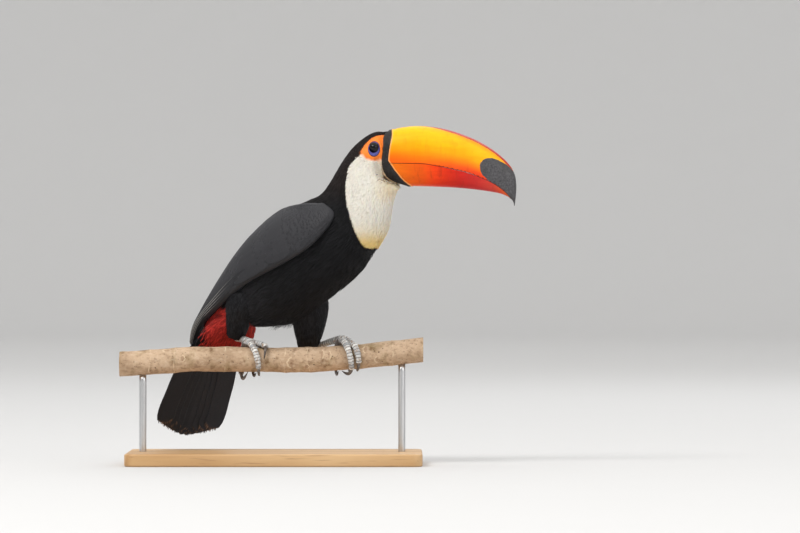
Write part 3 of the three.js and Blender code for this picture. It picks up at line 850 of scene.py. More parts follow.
def lay_lids(points, lid, sign):
    """Gathers the square of grid points round an eye into rings: the square's k-th ring of
    points goes to the k-th oval, an eighth of it to each side of the square's corners, and
    the outermost rings fade back into the grid. The lids' edge lies on the eyeball."""
    centre, out = eye_frame(sign)
    height = cheek_height(points, sign)
    middle_point = centre + out * height(np.array(0.0), np.array(0.0))
    row, column = np.unravel_index(((points - middle_point) ** 2).sum(-1).argmin(), points.shape[:2])
    block = np.ix_(np.arange(row - RING_COUNT, row + RING_COUNT + 1),
                   np.arange(column - RING_COUNT, column + RING_COUNT + 1))
    i, j = np.meshgrid(*[np.arange(-RING_COUNT, RING_COUNT + 1)] * 2, indexing="ij")
    steps = np.stack([points[row + 1, column], points[row, column + 1]]) - points[row, column]
    ways = steps @ np.stack([AHEAD, UP], 1)
    way_i, way_j = ways / np.hypot(*ways.T)[:, None]
    k = np.maximum(np.abs(i), np.abs(j))
    steep = np.abs(j) > np.abs(i)
    major, minor = np.where(steep, j, i), np.where(steep, i, j)
    turn = np.pi / 4 * minor / np.maximum(np.abs(major), 1)
    unit_major, unit_minor = np.sign(major) * np.cos(turn), np.sin(turn)
    unit_i, unit_j = np.where(steep, unit_minor, unit_major), np.where(steep, unit_major, unit_minor)
    p, q = (unit_i * way_i[n] + unit_j * way_j[n] for n in (0, 1))
    length = np.maximum(np.hypot(p, q), 1e-6)
    p, q = p / length, q / length
    wide, tall, lift = np.moveaxis(LIDS[k], -1, 0)
    shift = np.clip((wide - 5.16) / 1.3, 0, 1) * np.clip((15 - wide) / 8, 0, 1)
    fold = 0.3 * np.clip(q, -0.2, 1) * np.exp(-((wide - 5.2) / 0.8) ** 2)
    p, q = wide * p + LID_SHIFT[0] * shift, tall * q + LID_SHIFT[1] * shift
    ball = EYE["out"] + np.sqrt(np.maximum(EYE["radius"] ** 2 - p ** 2 - q ** 2, 4)) + 0.12
    ball = ball - 1.4 * np.clip((5.16 - wide) / 0.2, 0, 1)
    touch = np.clip((5.65 - wide) / 0.5, 0, 1)
    raised = (height(p, q) + lift + fold) * (1 - touch) + ball * touch
    placed = centre + p[..., None] * AHEAD + q[..., None] * UP + raised[..., None] * out
    share = smoothstep(0.72, 1.0, k / RING_COUNT)[..., None]
    points[block] = placed * (1 - share) + points[block] * share
    lid[block] = np.maximum(k - OPENING, 0) / 7.5
    return block


def joined_skin():
    """The trunk, neck and head in one, with lids round the eyes, and with the thighs and the
    mounds of the tail coverts joined on, coloured as the coat over it and bare on the cheeks."""
    ts = np.concatenate([np.linspace(0, 0.7, 90)[:-1], np.arange(0.7, CHIN_END, 0.0044)])
    angles = np.linspace(-math.pi, math.pi, 289)[:-1]
    t, angle = sheet_grid(ts, angles)
    points = skin_surface(t, angle)
    lid = np.full(t.shape, 4.0)
    x, z = side_twin(t, angle)
    for sign in (-1, 1):
        block = lay_lids(points, lid, sign)
        x[block] = points[block][..., 0] - (sign + 1) * 22 * math.sin(HEAD_YAW)
        z[block] = points[block][..., 2]
    colour, _, cheek, _ = markings(x, z)
    colour = mixed(colour * 0.8, FACE, smoothstep(-2.2, 1.5, cheek))
    trunk = make("skin", points, tube_quads(*t.shape), colours=dict(tint=colour),
                 values=dict(cheek=cheek, lid=lid),
                 uv=dict(OFBake=np.stack(unwrap_body(t, angle), -1)), period=0.6)
    limbs = [(thigh_skins[s], JET, unwrap_thigh(s), 0.14) for s in LEGS]
    limbs += [(vent_mound, CRIMSON, unwrap_mound(0), 0.3), (rump_mound, WHITE, unwrap_mound(1), 0.3)]
    for i, (surface, colour, unwrap, period) in enumerate(limbs):
        ts, angles = np.linspace(0.02, 0.98, 26), np.linspace(0, TAU, 37)[:-1]
        t, angle = sheet_grid(ts, angles)
        part = make(f"limb{i}", surface(t, angle), tube_quads(*t.shape),
                    colours=dict(tint=np.broadcast_to(colour * 0.8, (*t.shape, 3))),
                    values=dict(cheek=t * 0 - 9, lid=t * 0 + 4),
                    uv=dict(OFBake=np.stack(unwrap(t, angle), -1)), period=period)
        join = trunk.modifiers.new("join", "BOOLEAN")
        join.operation, join.solver, join.object = "UNION", "EXACT", part
    settle(trunk)
    for part in [o for o in bpy.data.objects if o.name.startswith("limb")]:
        bpy.data.objects.remove(part)
    return trunk


def skin_material():
    """Bare skin: orange and finely pebbled on the cheek, violet with dark rims round the eye,
    dark and plain under the coat."""
    tree = Tree("bare_skin")
    place = tree.place()
    pebble = tree.effect(PEBBLES, Place=place, Scale=1300)
    fold = tree.noise(380, 4.0, place)
    blotch = tree.fit(tree.noise(170, 3.0, place), 0.3, 0.7, 0.8, 1.15)
    lid = tree.value("lid")
    colour = tree.times(tree.colour("tint"), blotch)
    violet = tree.mottled(260, 3.0, place, (0.35, 0.65), paint(58, 58, 128), paint(96, 96, 166))
    ring = tree.math("MULTIPLY", tree.fit(lid, 0.06, 0.16), tree.fit(lid, 0.86, 0.76))
    colour = tree.mix(tree.fit(lid, 1.1, 0.99), colour, paint(40, 14, 22))
    colour = tree.mix(ring, colour, violet)
    height = tree.math("ADD", tree.math("MULTIPLY", pebble["Distance"], 0.5), fold)
    tree.bump(height, 0.5, 0.0005)
    return tree.finish(colour, tree.fit(fold, 0.3, 0.7, 0.42, 0.6), Specular_IOR_Level=0.3)


SKIN = skin_material()
skin = piece(joined_skin(), SKIN, "black_plumage", "head", "neck", "trunk", "thigh_right",
             "thigh_left", "undertail_coverts", "uppertail_coverts")

# ---- Eyes ----

def eyeball(side, sign):
    """A ball with a bulging cornea, turned round the way the eye looks: from its front, at
    each angle a from that way, radius R + 0.45 * (1 - (a / 0.72)^2) while a is under 0.72."""
    centre, out = eye_frame(sign)
    gaze = normalised(out + 0.14 * UP + 0.10 * AHEAD)
    first = normalised(np.cross(UP, gaze))
    second = np.cross(gaze, first)
    a, turn = sheet_grid(np.linspace(0.012, math.pi - 0.012, 72), np.linspace(0, TAU, 65)[:-1])
    radius = EYE["radius"] + 0.45 * np.clip(1 - (a / 0.72) ** 2, 0, 1)
    way = np.cos(a)[..., None] * gaze + np.sin(a)[..., None] * (
        np.cos(turn)[..., None] * first + np.sin(turn)[..., None] * second)
    points = centre + out * (EYE["out"] - 0.2) + way * radius[..., None]
    return make(f"eye_{side}_ball", points, tube_quads(*a.shape),
                values={"iris": EYE["radius"] * np.sin(a) + 20 * (a > math.pi / 2), "turn": turn})


def eye_material():
    """A dark brown iris, darker at its rim and streaked outwards, round a black pupil."""
    tree = Tree("eye")
    iris = tree.value("iris")
    spokes = tree.noise(9, 3.0, tree.value("turn"))
    brown = tree.mix(tree.fit(spokes, 0.3, 0.7), paint(14, 10, 12), paint(30, 20, 18))
    brown = tree.mix(tree.fit(iris, 3.6, 4.5), brown, paint(8, 9, 18))
    colour = tree.mix(tree.fit(iris, 2.35, 2.6), paint(4, 4, 5), brown)
    return tree.finish(colour, 0.08, Specular_IOR_Level=0.22, Coat_Weight=0.12, Coat_Roughness=0.02)


EYE_GLOSS = eye_material()
for side, sign in (("right", -1), ("left", 1)):
    piece(eyeball(side, sign), EYE_GLOSS, "eye", f"eye_{side}")

# ---- Bill ----

# The front edge of the dark band at the bill's base, and the tip spot, as (x, z).
BAND_FRONT = [(131.4, 380), (131, 373), (131.1, 367.6), (130.6, 363.3), (129.2, 357.1), (128.1, 350.5),
              (127.3, 343.9), (127, 338.5), (128.7, 336), (130.8, 332.9), (133.6, 328.5), (136.9, 324.5),
              (140.8, 319.5), (144.6, 315.7), (148.5, 312.7), (151.5, 310.8), (157, 306)]
TIP_SPOT = [(228.3, 333.5), (229.4, 336.4), (232.2, 339.6), (236.6, 341.3), (242, 341.6), (248.2, 339.6),
            (252.5, 337.2), (257.2, 335), (262.5, 330.6), (268, 324.6), (285, 318), (285, 270),
            (255, 300), (244, 311), (236.6, 317.8), (231, 323), (228.7, 328)]
# The stripe along the top: where along X it starts, is whole and ends, and how far it reaches down.
TOP_STRIPE = dict(start=160, whole=(200, 258), end=269, deep=2.1)


def beak(t, angle):
    """The bill's surface, carried straight on behind its first section where t is below 0."""
    t, angle = np.broadcast_arrays(np.asarray(t, float), angle)
    slope = (bill(t * 0 + 0.01, angle) - bill(t * 0, angle)) / 0.01
    return bill(np.maximum(t, 0), angle) + np.minimum(t, 0)[..., None] * slope


def gape_height(x):
    """The height of the line where the bill opens."""
    x_, z_ = curve(GAPE, np.linspace(0, 1, 200)).T
    return np.interp(x, x_, z_)


def gape_angles(ts):
    """For each t, the angle from the top of the bill down to the line where it opens."""
    t, angle = sheet_grid(ts, np.linspace(0, math.pi, 721))
    p = beak(t, -angle)
    under = p[..., 2] < gape_height(p[..., 0])
    return np.where(under.any(1), angle[0][under.argmax(1)], math.pi)


def rear_edge(angles):
    """For each angle, the t where the band begins."""
    t, angle = sheet_grid(np.linspace(-0.06, 0.2, 261), angles)
    p = beak(t, -np.abs(angle))
    return t[(behind_band(p[..., 0], p[..., 2]) < 0).argmax(0), 0]


beak_side = outward(bill, np.array([0.3]), np.array([math.pi / 2]))[0]
BEAK_OUT = float(np.sign(beak_side @ sideways(HEAD_YAW)))
FLARE, FLARE_REACH = 0.7, 5.0  # how far the band's rear rim stands out, and how far ahead it fades
TOMIUM, TOMIUM_IN = 0.6, 0.22  # width and depth of the turned-in edge of each half of the bill


def bill_half(upper):
    """One half of the bill, closed round its palate, and the count of its outer columns.
    Its rows run from the band's rear edge to the tip, and its outer columns from one side of
    the gape round to the other."""
    rows, columns, inner = 250, 111, 15
    r = np.linspace(0, 1, rows) ** 1.06
    q = np.linspace(-1, 1, columns)
    q = np.sign(q) * (1 - (1 - np.abs(q)) ** 1.25)
    fine = np.linspace(-0.06, 1, 900)
    opens = np.convolve(np.pad(gape_angles(fine), 4, mode="edge"), np.ones(9) / 9, "valid")
    top_of = lambda t: np.interp(t, fine, opens)
    gap = 0.004 if upper else -0.004
    span = lambda t: (top_of(t) - gap) if upper else (math.pi - top_of(t) + gap)
    shift = 0 if upper else math.pi
    last = 1.0 if upper else float(fine[(opens < 0.985 * math.pi).nonzero()[0][-1]])
    start = rear_edge(shift + q * span(0.0) if upper else math.pi - np.abs(q) * span(0.0))
    t = start + (last - start) * r[:, None]
    angle = shift + q * np.maximum(span(t), 0.01)
    points = beak(t, angle)
    normal = outward(beak, t, angle, BEAK_OUT)
    steps = np.linalg.norm(np.diff(points, axis=1), axis=-1)
    run = np.hstack([np.zeros((rows, 1)), np.cumsum(steps, 1)])
    to_edge = np.minimum(run, run[:, -1:] - run)
    back = np.linalg.norm(points - points[:1], axis=-1)
    turned_in = TOMIUM_IN * np.minimum(1, run[:, -1:] / 12) * rounding(1 - to_edge / TOMIUM)
    crown = smoothstep(368, 374, points[..., 2])
    flare = FLARE * (1 - crown) * np.exp(-(back / FLARE_REACH) ** 2)
    flare = flare - 0.3 * np.exp(-((back - 7.5) / 1.6) ** 2)
    rim = rounding(1 - back / 0.8) * 0.7
    points = points + normal * (flare - turned_in - rim)[..., None]
    folded = [points[0] - normal[0] * 1.6, points[0] - normal[0] * 3.2]
    points = np.concatenate([np.stack(folded[::-1]), points])
    first, final = points[:, -1:], points[:, :1]
    share = np.linspace(0, 1, inner + 2)[1:-1, None]
    chord = np.linalg.norm(first - final, axis=-1, keepdims=True)
    palate = first * (1 - share) + final * share
    palate = palate + UP * (1 if upper else -1) * 0.9 * chord * share * (1 - share)
    ring = np.concatenate([points, palate], axis=1)
    return ring, columns


def fields(ring, upper, columns):
    """What the bill's colours depend on, at each point of the right side or its twin: the
    distances into the band, the tip spot and the stripe along the top, and from the gape."""
    off = (ring - np.array([NECK_X, NECK_Y, 0])) @ sideways(HEAD_YAW)
    twin = ring - (np.maximum(off, 0) * 2)[..., None] * sideways(HEAD_YAW)
    x, z = twin[..., 0], twin[..., 2]
    front = BAND_FRONT + [(90, 304), (90, 380)]
    band = edge_distance(x, z, front)
    spot = edge_distance(x, z, TIP_SPOT) if upper else x * 0 - 9
    summit = ring[:, columns // 2]
    rise = normalised(np.cross(normalised(np.gradient(summit, axis=0)), sideways(HEAD_YAW)))
    rise = rise * np.sign(rise[:, 2:] + 0.3)
    under = ((summit[:, None] - ring) * rise[:, None]).sum(-1)
    begun, done = TOP_STRIPE["whole"]
    whole = smoothstep(TOP_STRIPE["start"], begun, x) * smoothstep(TOP_STRIPE["end"], done, x)
    deep = TOP_STRIPE["deep"] * whole
    stripe = deep - under if upper else x * 0 - 9
    run = np.cumsum(np.linalg.norm(np.diff(ring[:, :columns], axis=1), axis=-1), 1)
    run = np.hstack([run[:, :1] * 0, run])
    edge = np.pad(np.minimum(run, run[:, -1:] - run), ((0, 0), (0, ring.shape[1] - columns)))
    heights = ring[:, :columns, 2]
    top, low = heights.max(1, keepdims=True), heights.min(1, keepdims=True)
    share = np.clip((z - low) / np.maximum(top - low, 1), 0, 1)
    return x, z, band, spot, stripe, edge, share


def stops(value, places, colours):
    """A colour that passes smoothly through paint colours at places along a value."""
    return np.stack([np.interp(value, places, [c[n] for c in colours]) for n in range(3)], -1)


def upper_colour(x, share):
    """Orange at the gape through amber to yellow at the top, and redder towards the tip."""
    share = share - 0.10 * smoothstep(165, 135, x)
    near = stops(share, [0.0, 0.1, 0.25, 0.42, 0.62, 0.85, 1.0],
                 [paint(248, 102, 4), paint(250, 118, 2), paint(251, 142, 0), paint(252, 166, 0),
                  paint(252, 181, 0), paint(251, 190, 14), paint(249, 197, 46)])
    far = stops(share, [0.0, 0.12, 0.25, 0.42, 0.62, 0.85, 1.0],
                [paint(226, 56, 24), paint(236, 76, 26), paint(248, 122, 20), paint(252, 160, 14),
                 paint(252, 176, 8), paint(248, 184, 18), paint(238, 128, 34)])
    return mixed(near, far, smoothstep(150, 232, x))


def lower_colour(x, share):
    """Orange near the band, deep red half way, and orange again at the tip."""
    along = stops(x, [130, 150, 165, 178, 192, 207, 225, 243, 256, 264],
                  [paint(236, 116, 2), paint(232, 98, 2), paint(236, 86, 4), paint(236, 64, 8),
                   paint(220, 46, 12), paint(202, 34, 24), paint(200, 44, 40), paint(206, 66, 52),
                   paint(222, 90, 44), paint(236, 120, 42)])
    deeper = smoothstep(0.55, 0.0, share) * smoothstep(140, 190, x)
    return mixed(along, along * np.array([0.86, 0.55, 0.8]), deeper)


def bill_material(name, upper):
    """Satin horn: the gradient, streaked along the bill and blotched, with the band, the tip
    spot and the stripe on top laid over it, and dark nicks along the gape."""
    tree = Tree(name)
    place = tree.place()
    band, spot, stripe, edge = (tree.value(n) for n in ("band", "spot", "stripe", "edge"))
    fibre = tree.noise(240, 4.0, place, (0.18, 1, 1))
    blotch = tree.noise(70, 4.0, place, (1.0, 1, 0.4))
    wobble = tree.noise(420, 3.0, place)
    ragged = lambda value, by: tree.math("ADD", value, tree.fit(wobble, 0.2, 0.8, -by, by))
    streaks, clouds = tree.fit(fibre, 0.3, 0.7, 0.93, 1.06), tree.fit(blotch, 0.25, 0.75, 0.92, 1.06)
    colour = tree.times(tree.colour("tint"), tree.math("MULTIPLY", streaks, clouds))
    marks = tree.fit(tree.noise(150, 5.0, place, (1.6, 1, 0.22)), 0.56, 0.72)
    marks = tree.math("MULTIPLY", marks, 0.12 if upper else 0.35)
    colour = tree.mix(marks, colour, paint(150, 40, 12))
    if upper:
        colour = tree.mix(tree.fit(ragged(stripe, 0.3), -0.5, 0.5), colour, paint(176, 44, 30))
        grey = tree.mottled(520, 5.0, place, (0.3, 0.7), paint(62, 61, 64), paint(100, 99, 102))
        grey = tree.mix(tree.fit(blotch, 0.35, 0.7), grey, paint(70, 69, 70))
        colour = tree.mix(tree.fit(ragged(spot, 0.35), -0.25, 0.25), colour, grey)
    nick = tree.math("FRACT", tree.math("ADD", tree.math("MULTIPLY", tree.value("along"), 0.21),
                                        tree.fit(tree.noise(60, 1.0, place), 0.2, 0.8, 0, 1.1)))
    nick = tree.math("MULTIPLY", tree.fit(nick, 0.36, 0.26), tree.fit(edge, 1.3, 0.8))
    nick = tree.math("MULTIPLY", nick, tree.fit(tree.value("along"), 172, 188))
    rim = tree.math("MULTIPLY", tree.fit(edge, 0.6, 0.15), 0.7)
    colour = tree.mix(tree.math("MAXIMUM", nick if upper else rim, rim), colour, paint(96, 18, 10))
    line = tree.math("MULTIPLY", tree.fit(band, -1.5, -0.9), 0.75)
    colour = tree.mix(line, colour, paint(250, 176, 104))
    # The upper bill's band is painted a little lighter grey than the lower one's, a painted sheen.
    greyer = paint(54, 51, 50) if upper else paint(46, 43, 42)
    dark = tree.mix(tree.fit(wobble, 0.35, 0.7), paint(38, 36, 36), greyer)
    colour = tree.mix(tree.fit(ragged(band, 0.15), -0.2, 0.2), colour, dark)
    height = tree.math("ADD", tree.math("MULTIPLY", fibre, 0.7), tree.math("MULTIPLY", wobble, 0.3))
    tree.bump(height, 0.22, 0.0004)
    rough = tree.fit(blotch, 0.3, 0.7, 0.34, 0.46)
    return tree.finish(colour, rough, Specular_IOR_Level=0.16, Coat_Weight=0.06, Coat_Roughness=0.25)


for upper, name in ((True, "upper"), (False, "lower")):
    ring, columns = bill_half(upper)
    x, z, band, spot, stripe, edge, share = fields(ring, upper, columns)
    colour = upper_colour(x, share) if upper else lower_colour(x, share)
    half = make(f"{name}_mandible", ring, tube_quads(*ring.shape[:2]), colours={"tint": colour},
                values=dict(band=band, spot=spot, stripe=stripe, edge=edge, along=x))
    piece(half, bill_material(f"{name}_bill", upper), f"{name}_bill", f"bill_{name}")

# ---- Wings ----

def trunk_frame(points):
    """Distance along the trunk's heading and out to its left, of points."""
    x, y = points[..., 0] - BODY_CROSSES, points[..., 1]
    c, s = math.cos(BODY_YAW), math.sin(BODY_YAW)
    return x * c - y * s, x * s + y * c


def cloak_twin(points, sign):
    """The matching points on the bird's left of points on the side of that sign."""
    along, out = trunk_frame(points)
    c, s = math.cos(BODY_YAW), math.sin(BODY_YAW)
    out = out * sign
    return np.stack([BODY_CROSSES + along * c + out * s, out * c - along * s, points[..., 2]], -1)


def mantle_width(along):
    """Half width of the bare mantle between the wings, along the trunk."""
    return np.interp(along, [MANTLE["end"], MANTLE["start"]], [MANTLE["back"], MANTLE["front"]])


WING_OUTLINE = [tuple(place) for place in curve(WING_EDGE + SHOULDER, np.linspace(0, 1, 34))]
WING_OUTLINE += [(40, 310), (-60, 420), (-240, 420), (-240, 122)]


def inside_wing(points):
    """How far inside the folded wing's outline, and off the bare mantle, places of the left
    side lie, in mm."""
    along, out = trunk_frame(points)
    return edge_distance(along, points[..., 2], WING_OUTLINE), out - mantle_width(along)


def wing_limits():
    """For each t of the cloak, the first and last angle inside the wing's outline."""
    t, angle = np.linspace(0, 0.92, 369), np.linspace(0, math.pi, 481)
    inside = np.minimum(*inside_wing(cloak(*sheet_grid(t, angle)))) > 0
    t, inside = t[inside.any(1)], inside[inside.any(1)]
    top = angle[inside.argmax(1)]
    low = np.minimum(angle[len(angle) - 1 - inside[:, ::-1].argmax(1)], 0.92 * math.pi)
    soft = np.ones(7) / 7
    top, low = (np.convolve(np.pad(row, 3, mode="edge"), soft, "valid") for row in (top, low))
    return t, top, low


WING_T, WING_TOP, WING_LOW = wing_limits()
WING_FRONT, WING_TIP = WING_T[-1], 0.0
WING_ROUND, WING_SINK = 7.0, 4.6  # how wide and how deep the wing's edges turn in
WING_QUICK = 0.1


def wing_reach(u):
    """The cloak's t at u along a wing: close steps round the shoulder, then even ones."""
    u = np.clip(u, 0, 1)
    return WING_FRONT + (WING_TIP - WING_FRONT) * (1 + WING_QUICK) * u * u / (u + WING_QUICK)


def wing_surface(side, inset=0.0):
    """The folded wing of (u, v), u from shoulder to tip and v from the mantle's side to the
    lower edge. It lies on the cloak and turns in all along its outline."""
    sign = -1 if side == "right" else 1

    def flat(u, v):
        t = wing_reach(u)
        top, low = np.interp(t, WING_T, WING_TOP), np.interp(t, WING_T, WING_LOW)
        return cloak(t, sign * (top + (low - top) * v))

    turned = np.sign(outward(flat, np.array([0.5]), np.array([0.5]))[0] @ (sign * sideways(BODY_YAW)))

    def surface(u, v):
        u, v = np.broadcast_arrays(np.asarray(u, float), v)
        points = flat(u, v)
        within, off_mantle = inside_wing(cloak_twin(points, sign))
        sink = WING_SINK * rounding(1 - within / WING_ROUND)
        deep = np.interp(trunk_frame(points)[0], [0, 40], [1.6, 3.6])
        sink = np.maximum(sink, deep * rounding(1 - off_mantle / 9))
        normals = outward(flat, np.clip(u, 0.02, 0.99), np.clip(v, 0.02, 0.98), turned)
        return points - normals * (sink + inset)[..., None]

    return surface, turned


def wing_bed(side):
    """The body of the folded wing under its feathers: the wing's surface, with an inner
    face 5 mm in, closed all round."""
    surface, _ = wing_surface(side, 1.3)
    inner, _ = wing_surface(side, 5.5)
    us, vs = np.linspace(0.0, 0.985, 120), np.linspace(0.0, 1.0, 41)
    outer_face = surface(*sheet_grid(us, vs))
    inner_face = inner(*sheet_grid(us, vs[::-1]))
    ring = np.concatenate([outer_face, inner_face], axis=1)
    return make(f"wing_bed_{side}", ring, tube_quads(len(us), 2 * len(vs)),
                colours={"tint": np.broadcast_to(SLATE * 0.9, (ring.shape[0] * ring.shape[1], 3))})


# Rows of wing coverts: first and last u of the roots, step, feather length in u, half width
# in mm and gap across in v.
COVERTS = [
    dict(first=0.02, last=0.28, step=0.0165, long=0.052, wide=4.2, gap=0.062),
    dict(first=0.29, last=0.36, step=0.026, long=0.10, wide=5.6, gap=0.082),
    dict(first=0.375, last=0.44, step=0.04, long=0.17, wide=6.6, gap=0.092),
]


def feather_shape(stations, tip_round):
    """Half width along a feather: a quick swell from the quill, a long even vane and a
    rounded end."""
    s = np.asarray(stations)
    swell = 0.35 + 0.65 * np.sqrt(np.clip(s / 0.35, 0, 1))
    end = np.sqrt(np.clip(1 - ((s - 1 + tip_round) / tip_round).clip(0, 1) ** 2, 0.012, 1))
    return swell * end


def wing_shade(u, v):
    """How light the wing's slate is: palest at the shoulder, darkening to the tip, with a painted highlight,
    a light rim, along the front."""
    # rim is a painted highlight along the wing's front edge.
    rim = np.exp(-(u / 0.03) ** 2) * smoothstep(0.1, 0.35, v)
    return 1.15 - 0.26 * smoothstep(0.3, 0.8, u) - 0.10 * smoothstep(0.6, 1, v) + 0.5 * rim


def wing_feathers(side):
    """All the feathers of a folded wing: small coverts in rows at the shoulder, longer ones
    behind them, then the long secondaries, all lying close."""
    surface, turned = wing_surface(side, 0.9)
    lower = 1 if side == "left" else -1
    coats = []
    for row in COVERTS:
        starts = np.arange(row["first"], row["last"], row["step"])
        u, v = sheet_grid(starts, np.arange(0.05, 0.92, row["gap"]))
        v = v + 0.5 * row["gap"] * (np.arange(len(starts)) % 2)[:, None]
        u, v = u.ravel(), v.ravel()
        u = u + rng.normal(0, 0.25 * row["step"], u.size)
        v = np.clip(v + rng.normal(0, 0.06 * row["gap"], v.size), 0.04, 0.94)
        long = row["long"] * rng.uniform(0.94, 1.06, u.size)
        coats.append((u, v, u + long, v + rng.normal(0, 0.008, u.size), row["wide"], 0.0, 0.4))
    v = np.linspace(0.02, 0.90, 19)
    coats.append((0.46 + 0.04 * v, v, 0.74 + 0.20 * v, 0.05 + v * 0.88, 6.4, -0.05, 0.22))
    v = np.linspace(0.04, 0.88, 12)
    coats.append((0.60 + 0 * v, v, 0.93 + 0.05 * v, 0.08 + v * 0.86, 5.6, -0.1, 0.2))
    made = []
    for u0, v0, u1, v1, wide, lift, tip_round in coats:
        stations = np.linspace(0, 1, 6 if wide < 5 else 14) ** 0.9
        points, across, normals = spines(surface, (u0, v0), (np.minimum(u1, 0.995), np.clip(v1, 0, 1)),
                                         stations, turned)
        span = np.interp(wing_reach(u0), WING_T, WING_LOW - WING_TOP)
        across = across * lower
        count = len(u0)
        narrow = np.interp(u1, [0.75, 1.0], [1.0, 0.55]) * np.clip(span, 0.25, 1)
        shape = wide * narrow[:, None] * feather_shape(stations, tip_round)[None]
        widths = shape * rng.uniform(0.94, 1.06, count)[:, None]
        heights = -0.2 + (lift + 0.2) * stations[None] + 0 * widths
        p, q, ring = blades(points, across, normals, widths, heights, 0.03, 5, tilt=0.03, cup=wide / 80)
        if lower < 0:
            q = q[:, ::-1]
        u = u0[:, None] * (1 - stations) + u1[:, None] * stations
        v = v0[:, None] * (1 - stations) + v1[:, None] * stations
        shade = SLATE * (wing_shade(u, v) * rng.uniform(0.93, 1.07, count)[:, None])[..., None]
        at_edge = np.abs(round_blade(5)) > 0.99
        tone = shade[:, :, None] * np.where(at_edge, 1.03, 1.0)[None, None, :, None]
        maps = patch_map(0.05 + 0.9 * v0, 0.05 + 0.9 * u0, len(stations), ring)
        made.append((p, q, tone.reshape(-1, 3), maps))
    return made


def primary_edges(side):
    """The stacked edges of the flight feathers, fine pale lines along the lower side."""
    surface, turned = wing_surface(side, 0.55)
    lower = 1 if side == "left" else -1
    v = np.array([0.85, 0.895, 0.935, 0.97])
    stations = np.linspace(0, 1, 34)
    points, across, normals = spines(surface, (np.array([0.5, 0.54, 0.58, 0.62]), v),
                                     (np.array([0.985, 0.988, 0.99, 0.992]), v + 0.01), stations, turned)
    widths = np.array([2.6, 2.3, 2.0, 1.8])[:, None] * feather_shape(stations, 0.15)[None]
    heights = np.array([0.3, 0.2, 0.1, 0.0])[:, None] + 0.8 * (smoothstep(0, 0.2, stations)[None] - 1)
    p, q, ring = blades(points, across * lower, normals, widths, heights, 0.12, 9, tilt=0.3)
    if lower < 0:
        q = q[:, ::-1]
    at_edge = round_blade(9) > 0.85
    share = at_edge[None, None, :] * (0.8 * smoothstep(0.1, 0.4, stations))[None, :, None]
    tone = mixed(SLATE * 0.8, paint(176, 172, 166), np.broadcast_to(share, (4, len(stations), ring)))
    return p, q, tone.reshape(-1, 3), patch_map(v, v * 0 + 0.7, len(stations), ring)


WING_CLOTH = plumage_material("wing_plumage", 0.55, 0.03, 0.22, 0.2)
for side in LEGS:
    piece(wing_bed(side), WING_CLOTH, "wing_plumage", f"wing_{side}")
    coat(f"wing_feathers_{side}", wing_feathers(side) + [primary_edges(side)], WING_CLOTH, "wing_plumage")

# ---- Plumage ----

def speed(surface, t, angle):
    """Millimetres for each unit of t and of angle, at places of a surface."""
    e = 2e-3
    along = np.linalg.norm(surface(t + e, angle) - surface(t - e, angle), axis=-1) / (2 * e)
    round_ = np.linalg.norm(surface(t, angle + e) - surface(t, angle - e), axis=-1) / (2 * e)
    return np.maximum(along, 1), np.maximum(round_, 1)


def under_wing(t, angle):
    """How far inside the folded wing a place of the trunk lies, in mm."""
    return np.minimum(*inside_wing(body(t, np.abs(angle))))


def risen(tall, stations):
    """Heights along tufts, from 0.3 mm under the skin to each one's own: 1 - (1 - s)^2."""
    return -0.3 + (tall[:, None] + 0.3) * (1 - (1 - stations) ** 2)


def lay_on_body(count, t_range, long, wide, lift, seed, swing=0.1, thick=0.1, pale=False, lean=0.8):
    """One bed of tufts on the trunk, neck and head, the pale ones of the bib or the others.
    Each takes the marking of every place it passes over, shifted a little at random."""
    r = np.random.default_rng(seed)
    t, angle = scatter(outer, count, t_range, (-math.pi, math.pi))
    t = t + r.normal(0, 0.0015, count)
    x, z = side_twin(t, angle)
    _, bib, cheek, _ = markings(x, z)
    edge = np.abs(bib)
    keep = (cheek < -0.2) & (behind_band(x, z) > 0.25)
    keep[keep] &= under_wing(np.minimum(t[keep], 1), angle[keep]) < 9
    keep &= (bib > -9) if pale else (bib < 9)
    t, angle, cheek, edge = (row[keep] for row in (t, angle, cheek, edge))
    n = t.size
    length = long * r.uniform(0.8, 1.2, n) * np.interp(-cheek, [0, 6], [0.5, 1])
    length = np.minimum(length, np.interp(edge, [0, 4, 12], [3.6, 4.5, 16]))
    width = wide * r.uniform(0.75, 1.2, n) * np.interp(-cheek, [0, 6], [0.7, 1])
    along, round_ = speed(outer, t, angle)
    turn = r.normal(0, swing, n)
    tip_t = np.maximum(t - length * np.cos(turn) / along, 0)
    tip_angle = angle + length * np.sin(turn) / round_
    stations = np.array(WISP["stations"])
    x, z = side_twin(t[:, None] * (1 - stations) + tip_t[:, None] * stations,
                     angle[:, None] * (1 - stations) + tip_angle[:, None] * stations)
    shift = r.normal(0, 0.3, (2, n, 1))
    colour, bib, _, _ = markings(x + shift[0], z + shift[1])
    colour = colour * (r.uniform(0.96, 1.04, n) if pale else r.uniform(0.6, 1.5, n))[:, None, None]
    keep = (bib[:, 2] > 0) == pale
    tall = coat_depth(t) * r.uniform(*lift, n)
    heights = risen(tall, stations)
    return tufts(skin_surface, (t[keep], angle[keep]), (tip_t[keep], tip_angle[keep]), OUT, width[keep],
                 heights[keep], thick, colour[keep], unwrap_body(t[keep], angle[keep]), lean=lean, **WISP)


def hanging_wisps():
    """Loose barbs that hang clear of the belly just ahead of the vent."""
    r = np.random.default_rng(23)
    count = 80
    t, angle = r.uniform(0.195, 0.25, count), math.pi + r.normal(0, 0.25, count)
    along, round_ = speed(outer, t, angle)
    tip_t = t - r.uniform(6, 12, count) / along
    stations = np.array(WISP["stations"])
    heights = r.uniform(1.5, 5.5, count)[:, None] * stations ** 1.5 + 2.6
    return tufts(skin_surface, (t, angle), (tip_t, angle + r.normal(0, 2.5, count) / round_), OUT,
                 r.uniform(0.25, 0.45, count), heights, 0.08, JET * r.uniform(0.8, 1.6, count)[:, None],
                 unwrap_body(t, angle), **WISP)


